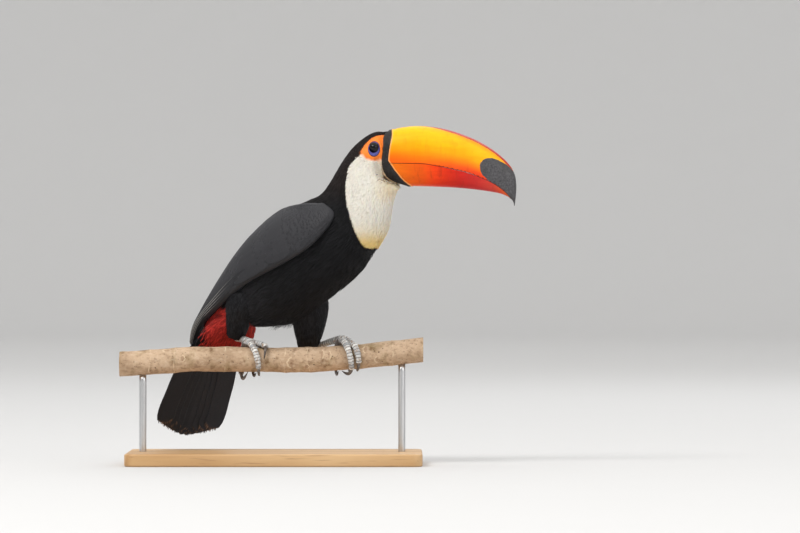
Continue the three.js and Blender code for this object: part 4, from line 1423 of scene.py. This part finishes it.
BLACK_CLOTH = plumage_material("black_plumage", 0.6, 0.02, 0.3, 0.12)
BIB_CLOTH = plumage_material("bib_plumage", 0.8, 0.05, 0.04, 0.08, 0.25)
RED_CLOTH = plumage_material("red_plumage", 0.7, 0.05, 0.2, 0.1)
WHITE_CLOTH = plumage_material("white_plumage", 0.75, 0.15, 0.08, 0.2)
DARK = dict(material=BLACK_CLOTH, slot="black_plumage")
PALE = dict(material=BIB_CLOTH, slot="bib_plumage")
SOFT = dict(swing=0.07, thick=0.06, pale=True, lean=0.12)
coat("plumage_back", [lay_on_body(7400, (0.012, 0.30), 16, 0.95, (0.35, 0.8), 12)], **DARK)
coat("plumage_breast", [lay_on_body(7100, (0.29, 0.53), 16, 0.95, (0.35, 0.8), 17)], **DARK)
coat("plumage_fringe", [hanging_wisps()], **DARK)
coat("plumage_neck", [lay_on_body(7500, (0.51, 0.76), 10, 0.8, (0.4, 0.8), 13),
                      lay_on_body(9500, (0.74, 1.13), 4.8, 0.55, (0.4, 0.8), 14, 0.08, 0.08)], **DARK)
coat("plumage_bib", [lay_on_body(11000, (0.46, 0.80), 7, 0.86, (0.8, 1.05), 15, **SOFT)], **PALE)
coat("plumage_chin", [lay_on_body(13400, (0.78, 1.165), 4.4, 0.64, (0.8, 1.05), 16, **SOFT)], **PALE)
coat("plumage_cheek", [lay_on_body(9500, (0.88, 1.165), 4.2, 0.8, (0.5, 0.85), 18, **SOFT)], **PALE)


def lay_on(surface, unwrap, count, t_end, long, wide, lift, colour, vary, seed, swing=0.15, dark=None,
           first=1.0):
    """A bed of wisps on a limb or mound, lying from its root to its tip; dark, if given, is
    the x behind which they turn black, raggedly, and first how light the first ones are."""
    r = np.random.default_rng(seed)
    t, angle = scatter(surface, count, (0.0, t_end), (0, TAU), cells=(40, 48))
    along, round_ = speed(surface, t, angle)
    length, turn = long * r.uniform(0.75, 1.25, count), r.normal(0, swing, count)
    tip_t = t + length * np.cos(turn) / along
    tip_angle = angle + length * np.sin(turn) / round_
    stations = np.array(WISP["stations"])
    tall = lift * r.uniform(0.3, 1.0, count)
    heights = risen(tall, stations)
    tint = mixed(colour * first, colour, smoothstep(0.1, 0.5, t))
    tint = tint * (1 + vary * r.uniform(-1, 1, count))[:, None]
    # With dark given, the wisps behind it are painted black: painted shade together with the black of the
    # parts behind them.
    if dark is not None:
        past = surface(t, angle)[:, 0] - dark + r.normal(0, 2.5, count)
        tint = mixed(tint, JET, smoothstep(2, -2, past))
    return tufts(surface, (t, angle), (tip_t, tip_angle), facing(surface), wide * r.uniform(0.7, 1.2, count),
                 heights, 0.1, tint, unwrap(t, angle), **WISP)


def facing(surface, t=0.5):
    """The sign that makes the surface's normal point away from its middle."""
    angles = np.linspace(0, TAU, 9)[:-1]
    points = surface(np.full(8, t), angles)
    return float(np.sign((outward(surface, np.full(8, t), angles) * (points - points.mean(0))).sum()))


# The thighs' black is painted 2.3 times lighter, a painted highlight, eased to 0.8 of that towards the hip.
for side in LEGS:
    bed = lay_on(thigh_skins[side], unwrap_thigh(side), 5000, 0.9, 13, 0.8, 3.0, JET * 2.3, 0.5, 21, 0.22,
                 first=0.8)
    coat(f"plumage_thigh_{side}", [bed], **DARK)
# Behind x -75 the red coverts are painted black, standing in for the black tail base and for the shade under
# the wing.
vent = lay_on(vent_mound, unwrap_mound(0), 5000, 0.84, 12, 0.85, 3.0, CRIMSON, 0.45, 31, 0.2, dark=-75)
coat("plumage_vent", [vent], RED_CLOTH, "red_plumage")
rump = lay_on(rump_mound, unwrap_mound(1), 1500, 0.88, 13, 0.9, 2.2, WHITE, 0.06, 32)
coat("plumage_rump", [rump], WHITE_CLOTH, "white_plumage")

# ---- Tail ----

TAIL_SLATE = paint(41, 43, 49)


def tail_feathers():
    """Ten feathers fanned from the tail's root. Seen from below, each lies over the one
    nearer the middle, and their worn tips end in splayed barbs."""
    fan, face = plate(**TAIL, short=0.06)
    below = -1.0 if face[1] > 0 else 1.0
    parts = []
    pairs = 5
    for i in range(2 * pairs):
        side = -1 if i < pairs else 1
        rank = (i % pairs) + 0.5
        x_tip, x_root = side * rank * 0.168, side * rank * 0.13
        s_end = 1.0 - 0.007 * rank ** 1.3
        stations = np.linspace(0, 1, 24)
        s, x = s_end * stations[None], (x_root + (x_tip - x_root) * np.sqrt(stations))[None]
        points = fan(s, x)
        ahead = normalised(np.gradient(points, axis=1))
        normals = np.broadcast_to(face * below, points.shape)
        across = normalised(np.cross(normals, ahead))
        lift = (0.05 + 0.06 * rank) * np.ones_like(s) - 0.8
        widths = 11.5 * feather_shape(stations, 0.075)[None]
        p, q, ring = blades(points, across, normals, widths, lift, 0.12, 9, tilt=0.05 * side, cup=0.004)
        # The fan is painted lighter towards one side and darker towards the other, by up to a fifth: painted
        # light and shade.
        base = (TAIL_SLATE * rng.uniform(0.92, 1.08) * (1 + 0.25 * x_tip))[None, None, None]
        edges = 1 + 0.2 * (np.abs(round_blade(9)) > 0.99)
        tone = np.broadcast_to(base, (1, 24, ring, 3)) * edges[None, None, :, None]
        worn = np.repeat(smoothstep(0.96, 1.0, stations), ring) * 0.3 * abs(x_tip) ** 2
        tone = mixed(tone.reshape(-1, 3), paint(122, 92, 76), worn)
        parts.append((p, q, tone, patch_map(np.array([0.1 + 0.08 * i]), np.array([0.3]), 24, ring)))
        barbs = 16
        at = np.linspace(-0.85, 0.85, barbs) + rng.normal(0, 0.03, barbs)
        end, aside, up = points[0, -1], across[0, -1], normals[0, -1]
        root = end + aside * (at * 9.5)[:, None] - ahead[0, -1] * (2.5 + 5.5 * at ** 2)[:, None]
        reach = rng.uniform(2.5, 5, barbs)[:, None] * (0.7 + 0.6 * abs(x_tip))
        way = normalised(ahead[0, -1] + aside * (0.2 * at + rng.normal(0, 0.08, barbs))[:, None])
        steps = np.linspace(0, 1, 4)[None, :, None]
        line = root[:, None] + way[:, None] * reach[:, None] * steps + up * lift[0, -1]
        p, q, ring = blades(line, np.broadcast_to(aside, line.shape), np.broadcast_to(up, line.shape),
                            0.5 * np.array([0.8, 1, 0.7, 0.1])[None], 0.05, 0.08)
        old = np.clip(rng.uniform(-0.5, 0.5, barbs) + 0.6 * abs(x_tip), 0, 1)
        tone = np.repeat(mixed(paint(44, 42, 42), paint(150, 118, 98), old), 4 * ring, 0)
        maps = patch_map(np.full(barbs, 0.1 + 0.08 * i), np.linspace(0.5, 0.9, barbs), 4, ring)
        parts.append((p, q, tone, maps))
    return parts


TAIL_CLOTH = plumage_material("tail_plumage", 0.55, 0.02, 0.2, 0.15)
coat("tail_feathers", tail_feathers(), TAIL_CLOTH, "black_plumage", "tail")

# ---- Feet ----

FOOT = dict(heel=4.5, tarsus=3.8, ball=5.0, toe=3.8, toe_end=3.0, claw=2.4, claw_tip=0.25)
GRIP = PERCH_RADIUS + 0.2  # how far from the branch's axis a toe's sole lies
TOE_SWEEP, CLAW_TURN = 0.52, 50
SCUTE = 3.1  # length of a toe's ring scute


def perch_height(x):
    """The height of the branch's axis."""
    x_, z_ = curve(PERCH_AXIS, np.linspace(0, 1, 300)).T
    return np.interp(x, x_, z_)


def round_perch(x, degrees, reach):
    """Places at an angle round the branch, from its top towards -Y, at a reach from its axis."""
    a = np.radians(degrees)
    return np.stack([x + 0 * a, -np.sin(a) * reach, perch_height(x) + np.cos(a) * reach], -1)


def toe_paths(toe):
    """A toe's middle line round the branch and its claw's, which arches off and comes back
    to the bark. Each is 40 points."""
    start, drift, curl, lean = toe
    part = np.linspace(0, 1, 40)
    thick = FOOT["toe"] + (FOOT["toe_end"] - FOOT["toe"]) * part
    along = start + drift * np.sin(part * math.pi * TOE_SWEEP)
    body_line = round_perch(along, part * curl, GRIP + thick + 0.5 * np.sin(part * math.pi * 3) ** 2)
    turn = np.sign(curl) * CLAW_TURN * part ** 0.9
    arch = 2.4 if curl > -150 else 4.4
    rise = FOOT["toe_end"] + arch * np.sin(math.pi * part ** 0.75) - 2.4 * part ** 2
    claw_line = round_perch(along[-1] + lean * part ** 1.3, 0.97 * curl + turn, GRIP + rise)
    return body_line, claw_line


def path_tube(path, radii, flat=1.0):
    """A closed tube along a line of points, squeezed sideways by flat: point + r (flat cos
    first + sin second), second being the line's own bend direction."""
    rows, sides = len(path), 28
    along = normalised(np.gradient(path, axis=0))
    bend = path - np.array([0, 0, 1.0]) * perch_height(path[:, 0])[:, None] - path * np.array([1.0, 0, 0])
    second = normalised(bend - along * (bend * along).sum(-1, keepdims=True))
    first = np.cross(along, second)
    a = np.linspace(0, TAU, sides + 1)[:-1]
    r = np.broadcast_to(radii, rows)[:, None, None]
    ring = flat * np.cos(a)[None, :, None] * first[:, None] + np.sin(a)[None, :, None] * second[:, None]
    return path[:, None] + r * ring, tube_quads(rows, sides)


def bundle(tubes):
    """Several closed tubes as one set of points and quads."""
    offset, points, quads = 0, [], []
    for p, q in tubes:
        points.append(p.reshape(-1, 3))
        quads.append(q + offset)
        offset += len(points[-1])
    return np.vstack(points), np.vstack(quads)


def foot(side):
    """A foot melted into one skin from its tarsus, ball and four toes, then ringed with
    scutes: each point is pushed out by 0.2 |sin(pi s / scute)| ^ 0.5 of its way s along the
    nearest middle line, on the upper side only."""
    leg = LEGS[side]
    heel, ball = np.array(leg["heel"], float), np.array(leg["foot"], float)
    lines = [toe_paths(toe)[0] for toe in leg["toes"]]
    part = np.linspace(0, 1, 40)
    tarsus = curve([heel + (heel - ball) * 0.12, heel, (heel + ball) / 2 + [0, 0, 0.8], ball], part)
    knuckles = 1 + 0.07 * np.cos(part * TAU * 3)
    ends = np.sqrt(np.clip(1.001 - ((part - 0.93) / 0.07).clip(0, 1) ** 2, 0.05, 1))
    thick = (FOOT["toe"] + (FOOT["toe_end"] - FOOT["toe"]) * part) * knuckles * ends
    tubes = [path_tube(line, thick) for line in lines]
    shin = np.interp(part, [0, 0.25, 0.6, 1], [FOOT["heel"], FOOT["heel"], FOOT["tarsus"], 4.3])
    tubes.append(path_tube(tarsus, shin, 0.86))
    swell = np.sin(np.linspace(0.12, math.pi - 0.12, 40))
    sole = ball + np.linspace(-1, 1, 40)[:, None] * np.array([7.0, 1.5, 0.4]) + [1.5, 0, -1.2]
    tubes.append(path_tube(sole, FOOT["ball"] * swell ** 0.6, 1.0))
    made = make(f"foot_{side}_skin", *bundle(tubes))
    melt = made.modifiers.new("melt", "REMESH")
    melt.mode, melt.voxel_size, melt.use_smooth_shade = "VOXEL", 0.42 * MM, True
    ease = made.modifiers.new("ease", "SMOOTH")
    ease.factor, ease.iterations = 0.5, 7
    whole = settle(made)
    points = np.empty(3 * len(whole.vertices))
    whole.vertices.foreach_get("co", points)
    normals = np.empty(3 * len(whole.vertices))
    whole.vertices.foreach_get("normal", normals)
    points, normals = points.reshape(-1, 3) / MM, normals.reshape(-1, 3)
    best = np.full(len(points), 1e9)
    along, line_of = np.zeros(len(points)), np.zeros(len(points))
    for n, line in enumerate(lines + [tarsus]):
        run = np.concatenate([[0], np.cumsum(np.linalg.norm(np.diff(line, axis=0), axis=1))])
        gap = np.linalg.norm(points[:, None] - line[None], axis=-1)
        near, at = gap.min(1), gap.argmin(1)
        step = normalised(np.gradient(line, axis=0))[at]
        fine = run[at] + ((points - line[at]) * step).sum(-1)
        closer = near < best
        best[closer], along[closer], line_of[closer] = near[closer], fine[closer], n
    axis = np.stack([points[:, 0], 0 * points[:, 0], perch_height(points[:, 0])], -1)
    upper = smoothstep(-0.35, 0.25, (normals * normalised(points - axis)).sum(-1))
    upper = np.where(line_of == 4, 1.0, upper)
    length = np.where(line_of == 4, SCUTE * 1.25, SCUTE)
    scute = np.abs(np.sin(np.pi * along / length)) ** 0.5
    points += normals * ((0.45 * scute - 0.3) * upper)[:, None]
    whole.vertices.foreach_set("co", (points * MM).astype(np.float32).ravel())
    row = np.floor(along / length) + 20 * line_of
    for label, value in dict(scute=scute, upper=upper, row=row).items():
        attribute = whole.attributes.new(label, "FLOAT", "POINT")
        attribute.data.foreach_set("value", value.astype(np.float32))
    whole.update()
    return made


def foot_material():
    """Pale grey-blue scutes with brown between them, each a little its own shade, over a
    darker pebbled sole."""
    tree = Tree("foot_skin")
    place = tree.place()
    scute, upper = tree.value("scute"), tree.value("upper")
    own = tree.add("ShaderNodeTexWhiteNoise", noise_dimensions="1D")
    tree.join(tree.value("row"), own, "W")
    pale = tree.mix(own.outputs["Value"], paint(158, 162, 166), paint(232, 231, 226))
    pale = tree.mottled(330, 4.0, place, (0.5, 0.7), pale, paint(158, 132, 112))
    colour = tree.mix(tree.fit(scute, 0.68, 0.36), pale, paint(74, 66, 62))
    pebble = tree.effect(PEBBLES, Place=place, Scale=900)["Distance"]
    sole = tree.mix(tree.fit(pebble, 0.1, 0.6), paint(128, 116, 106), paint(84, 72, 64))
    colour = tree.mix(upper, sole, colour)
    tree.bump(tree.math("ADD", pebble, tree.noise(600, 3.0, place)), 0.3, 0.0003)
    rough = tree.fit(tree.noise(300, 2.0, place), 0.3, 0.7, 0.42, 0.58)
    return tree.finish(colour, rough, Specular_IOR_Level=0.45)


def claws(side):
    """The four claws of a foot, curved, keeled and tapering to points."""
    part = np.linspace(0, 1, 40)
    radius = FOOT["claw"] + (FOOT["claw_tip"] - FOOT["claw"]) * part ** 2
    radius = radius * np.clip(part / 0.05, 0.3, 1) ** 0.5
    tubes = [path_tube(toe_paths(toe)[1], radius, 0.72) for toe in LEGS[side]["toes"]]
    points, quads = bundle(tubes)
    share = np.tile(np.repeat(part, 28), 4)
    return make(f"claws_{side}", points, quads, values={"share": share})


def claw_material():
    """Streaked grey-brown horn, darker to the point."""
    tree = Tree("claw")
    streak = tree.noise(500, 3.0, tree.place(), (1, 0.4, 1))
    colour = tree.mix(tree.fit(streak, 0.3, 0.7), paint(66, 58, 54), paint(112, 102, 94))
    colour = tree.mix(tree.fit(tree.value("share"), 0.5, 1.0), colour, paint(44, 40, 40))
    tree.bump(streak, 0.2, 0.0003)
    return tree.finish(colour, tree.fit(streak, 0.3, 0.7, 0.26, 0.4))


FOOT_SKIN, CLAW_HORN = foot_material(), claw_material()
for side in LEGS:
    piece(foot(side), FOOT_SKIN, "foot_skin", f"foot_{side}")
    piece(claws(side), CLAW_HORN, "claw", *[f"claw_{side}_{n + 1}" for n in range(4)])

# ---- Branch ----

RING_SCARS = [-141, -113, -55, 12, 38, 94, 131]  # where old leaves left rings, along X
# Leaf scars: x, angle round the branch from its top towards -Y, half length, half height,
# and which way along the branch the worn side faces.
LEAF_SCARS = [
    (18, 104, 4.0, 6.0, -1), (53, 64, 2.0, 5.8, 1), (61, 72, 1.7, 5.2, 1), (-103, 84, 2.6, 3.6, 1),
    (-121, 32, 4.2, 2.6, -1), (36, 122, 2.4, 3.0, 1), (101, 58, 2.4, 4.4, -1), (114, 112, 2.2, 3.4, -1),
    (-60, -80, 3.4, 5.0, 1), (20, -95, 2.6, 4.4, 1), (84, -60, 2.4, 3.8, -1), (-12, 170, 3.4, 4.4, 1),
]


def wave_noise(u, v, seed, count=14, scale=1.0):
    """Soft noise on the branch, the mean of sines with random whole numbers of waves round it."""
    r = np.random.default_rng(seed)
    total = 0
    for _ in range(count):
        k, m = r.uniform(0.3, 1.6) * scale * r.choice([-1, 1]), r.integers(0, max(2, int(6 * scale)))
        total = total + np.sin(u * k / 10 + v * m + r.uniform(0, TAU))
    return total / math.sqrt(count)


def branch():
    """The cut branch of (x, angle): radius 13.9 with soft swellings, plus a lip at each ring
    scar, lens-shaped leaf scars with raised lips, small pits, and flat ends."""
    rows = 600
    t = np.linspace(0, 1, rows)
    ends = np.array([0.97, 0.86, 0.7, 0.52, 0.35, 0.18, 0.03])
    t = np.concatenate([t[:1].repeat(7), t, t[-1:].repeat(7)])
    shrink = np.concatenate([ends[::-1], np.ones(rows), ends])
    angle = np.linspace(0, TAU, 161)[:-1]
    t, a = sheet_grid(t, angle)
    line = curve(PERCH_AXIS, t)
    x, z = line[..., 0], line[..., 1]
    radius = PERCH_RADIUS - 0.1 + 0.22 * wave_noise(x, a, 3) + 0.10 * wave_noise(x, a, 4, 24, 4.0)
    lip = np.zeros_like(x)
    for n, at in enumerate(RING_SCARS):
        off = x - at - 1.4 * np.sin(a + n) - 0.7 * np.sin(2 * a + 2.2 * n) - 0.35 * np.sin(5 * a + n)
        swell = 0.45 + 0.4 * np.sin(2 * a + 1.7 * n) * np.sin(5 * a + n)
        lip = np.maximum(lip, np.exp(-(off / 0.7) ** 2) * swell)
        radius = radius + 0.35 * np.exp(-(off / 5) ** 2)
    scar = np.zeros_like(x)
    for at, degrees, long, tall, faces in LEAF_SCARS:
        turn = (a - math.radians(degrees) + math.pi) % TAU - math.pi
        high = turn * PERCH_RADIUS / tall
        ahead = (x - at) / long * faces + 0.35 * high ** 2 + 0.12 * np.sin(9 * high + at)
        reach = np.sqrt(ahead ** 2 + high ** 2)
        open_side = smoothstep(-0.5, 0.7, ahead)
        lip = np.maximum(lip, 0.8 * open_side * np.exp(-((reach - 1) / 0.25) ** 2))
        scar = np.maximum(scar, smoothstep(1.0, 0.5, reach) * (0.45 + 0.55 * smoothstep(0.6, -0.6, ahead)))
    pits = np.zeros_like(x)
    r = np.random.default_rng(41)
    for at, turn_at, size in zip(r.uniform(-168, 160, 90), r.uniform(0, TAU, 90), r.uniform(0.45, 1.1, 90)):
        turn = (a - turn_at + math.pi) % TAU - math.pi
        pits = np.maximum(pits, np.exp(-(((x - at) / size) ** 2 + (turn * PERCH_RADIUS / (size * 0.8)) ** 2)))
    radius = radius + 0.42 * lip - 0.35 * scar - 0.55 * pits
    r_ = radius * shrink[:, None]
    points = np.stack([x, -np.sin(a) * r_, z + np.cos(a) * r_], -1)
    return make("branch", points, tube_quads(*t.shape),
                values=dict(lip=lip, scar=scar, pit=pits, core=np.broadcast_to(shrink[:, None], t.shape)))


def bark_material():
    """Smooth pale bark, mottled and speckled, with paler lips round darker scars, dark pits,
    and ringed wood on the cut ends."""
    tree = Tree("bark")
    place = tree.place()
    lip, scar, pit, core = (tree.value(n) for n in ("lip", "scar", "pit", "core"))
    broad = tree.noise(34, 6.0, place, (0.7, 1, 1), 0.62)
    fine = tree.noise(260, 6.0, place, (0.8, 1, 1), 0.65)
    speck = tree.add("ShaderNodeTexVoronoi", Scale=230)
    tree.join(place, speck, "Vector")
    rings = tree.noise(0.9, 2.0, tree.math("MULTIPLY", core, 22))
    wood = tree.mix(tree.fit(rings, 0.35, 0.65), paint(214, 186, 142), paint(178, 142, 100))
    part = lambda mask, by: tree.math("MULTIPLY", mask, by)
    colour = paint(198, 171, 143)
    for mask, over in (
        (tree.fit(broad, 0.35, 0.66), paint(168, 141, 114)),
        (tree.fit(tree.noise(60, 5.0, place), 0.54, 0.72), paint(150, 128, 92)),
        (tree.fit(tree.noise(120, 5.0, place), 0.58, 0.74), paint(118, 88, 62)),
        (tree.fit(fine, 0.52, 0.78), paint(130, 104, 80)),
        (part(tree.fit(fine, 0.46, 0.26), 0.35), paint(226, 210, 188)),
        (part(tree.fit(speck.outputs["Distance"], 0.16, 0.10), 0.6), paint(92, 66, 48)),
        (part(tree.fit(lip, 0.25, 0.8), 0.75), paint(232, 210, 178)),
        (part(scar, 0.55), paint(140, 110, 84)),
        (tree.fit(pit, 0.35, 0.75), paint(56, 38, 28)),
        (tree.fit(core, 0.985, 0.95), wood),
    ):
        colour = tree.mix(mask, colour, over)
    tree.bump(tree.math("ADD", fine, tree.math("MULTIPLY", speck.outputs["Distance"], 0.4)), 0.55, 0.0005)
    return tree.finish(colour, tree.fit(fine, 0.3, 0.7, 0.7, 0.88), Specular_IOR_Level=0.3)


piece(branch(), bark_material(), "branch", "perch")

# ---- Stand ----

def board():
    """The base, a rounded rectangle stacked from its underside to its top with eased edges:
    at each height the outline is drawn in by its inset, the corners' radius too."""
    length, depth, thick, corner, edge = (BASE[k] for k in ("length", "depth", "thick", "corner", "edge"))
    ease = np.linspace(0, math.pi / 2, 7)
    falls, rises = edge * (1 - np.sin(ease)), edge * (1 - np.cos(ease))
    inset = np.concatenate([[80, 40, 12], falls, rises, [12, 40, 80]])
    height = np.concatenate([[0, 0, 0], rises, thick - falls, [thick] * 3])
    a = np.linspace(0, TAU, 129)[:-1] + TAU / 256
    inset, a = sheet_grid(inset, a)
    radius = np.maximum(corner - inset, 0.5)
    x = np.sign(np.cos(a)) * (length / 2 - inset - radius) + radius * np.cos(a)
    y = np.sign(np.sin(a)) * (depth / 2 - inset - radius) + radius * np.sin(a)
    points = np.stack([x, y, np.broadcast_to(height[:, None], x.shape)], -1)
    return make("stand_board", points, tube_quads(*x.shape))


def rod(x):
    """A plain round rod from the base into the underside of the branch."""
    top = float(perch_height(x)) - PERCH_RADIUS + 1
    heights = np.concatenate([[BASE["thick"] - 0.5] * 3, np.linspace(BASE["thick"], top, 12), [top] * 3])
    shares = np.concatenate([[0.02, 0.5, 0.98], np.ones(12), [0.98, 0.5, 0.02]])
    h, a = sheet_grid(heights, np.linspace(0, TAU, 49)[:-1])
    r = ROD_RADIUS * np.broadcast_to(shares[:, None], h.shape)
    return make(f"stand_rod_{1 if x < 0 else 2}_steel", np.stack([x + r * np.cos(a), r * np.sin(a), h], -1),
                tube_quads(*h.shape))


def wood_material():
    """Oiled beech: bands of grain drawn out along the board, with short dark pores."""
    tree = Tree("oiled_beech")
    place = tree.place()
    figure = tree.noise(9, 3.0, place, (0.35, 2.2, 2.2))
    grain = tree.add("ShaderNodeTexWave", wave_type="BANDS", bands_direction="Y",
                     Scale=26, Distortion=7, Detail=3)
    mapping = tree.add("ShaderNodeMapping")
    mapping.inputs["Scale"].default_value = (0.12, 1, 1)
    tree.join(place, mapping, "Vector")
    tree.join(mapping.outputs["Vector"], grain, "Vector")
    pores = tree.noise(420, 3.0, place, (0.05, 1, 1))
    colour = tree.mix(grain.outputs["Fac"], paint(202, 164, 116), paint(182, 140, 92))
    colour = tree.mix(tree.fit(figure, 0.4, 0.7), colour, paint(214, 178, 132))
    colour = tree.mix(tree.math("MULTIPLY", tree.fit(pores, 0.58, 0.7), 0.5), colour, paint(138, 98, 62))
    tree.bump(pores, 0.15, 0.0003)
    return tree.finish(colour, tree.fit(grain.outputs["Fac"], 0, 1, 0.38, 0.5))


def steel_material():
    """Steel brushed along the rod."""
    tree = Tree("brushed_steel")
    brush = tree.noise(900, 2.0, tree.place(), (1, 1, 0.02))
    colour = tree.mix(tree.fit(brush, 0.3, 0.7), (0.52, 0.53, 0.54), (0.68, 0.68, 0.69))
    tree.bump(brush, 0.08, 0.0002)
    return tree.finish(colour, tree.fit(brush, 0.3, 0.7, 0.24, 0.38), Metallic=1.0)


piece(board(), wood_material(), "base_wood", "stand_base")
STEEL = steel_material()
for n, x in enumerate(ROD_PLACES):
    piece(rod(x), STEEL, "rod", f"stand_rod_{n + 1}")

# ---- Stage, light and camera ----

def studio():
    """A round pale floor that curves up into a wall, open above, wider than any view of it."""
    radii = np.concatenate([[0.02, 2, 5, 8, 11], 11 + 3 * np.sin(np.linspace(0.1, math.pi / 2, 14)), [14.0]])
    rises = np.concatenate([np.zeros(5), 3 - 3 * np.cos(np.linspace(0.1, math.pi / 2, 14)), [9.0]])
    angle = np.linspace(0, TAU, 97)[:-1]
    points = np.stack([radii[:, None] * np.cos(angle), radii[:, None] * np.sin(angle),
                       np.broadcast_to(rises[:, None], (len(radii), 96))], -1)
    mesh = bpy.data.meshes.new("studio")
    quads = grid_quads(len(radii), 96)
    flat = np.vstack([quads, cap_quads(0, 96, True)])
    mesh.from_pydata(points.reshape(-1, 3).tolist(), [], flat.tolist())
    mesh.polygons.foreach_set("use_smooth", np.full(len(flat), True))
    floor = bpy.data.objects.new("studio", mesh)
    bpy.context.scene.collection.objects.link(floor)
    tree = Tree("studio_paper")
    rough = tree.fit(tree.noise(6, 2.0), 0.3, 0.7, 0.86, 0.92)
    floor.data.materials.append(tree.finish((0.62, 0.62, 0.62), rough))


def lamp(name, place, size, power, colour):
    """A square soft light that looks at the bird."""
    light = bpy.data.lights.new(name, "AREA")
    light.size, light.energy, light.color = size, power, colour
    made = bpy.data.objects.new(name, light)
    made.location = place
    made.rotation_euler = (Vector((0, 0, 0.2)) - Vector(place)).to_track_quat("-Z", "Y").to_euler()
    bpy.context.scene.collection.objects.link(made)


studio()
WARM, COOL = (1.0, 0.985, 0.96), (0.97, 0.98, 1.0)
lamp("key", (-2.2, -2.6, 3.6), 1.6, 120, WARM)
lamp("fill", (3.0, -3.0, 1.6), 2.5, 40, WARM)
lamp("back", (1.5, 3.2, 3.0), 2.0, 25, COOL)
world = bpy.data.worlds.new("soft_room")
world.use_nodes = True
world.node_tree.nodes["Background"].inputs["Color"].default_value = (1.0, 0.99, 0.975, 1)
world.node_tree.nodes["Background"].inputs["Strength"].default_value = 1.15
scene = bpy.context.scene
scene.world = world
scene.view_settings.view_transform = "Standard"

# A long lens 6 m from the branch, level and square to it.
camera = bpy.data.objects.new("camera", bpy.data.cameras.new("camera"))
camera.data.lens, camera.data.sensor_width = 241.07, 36
camera.location = (0.140, -6.0, 0.22128)
camera.rotation_euler = (math.pi / 2, 0, 0)
scene.collection.objects.link(camera)
scene.camera = camera
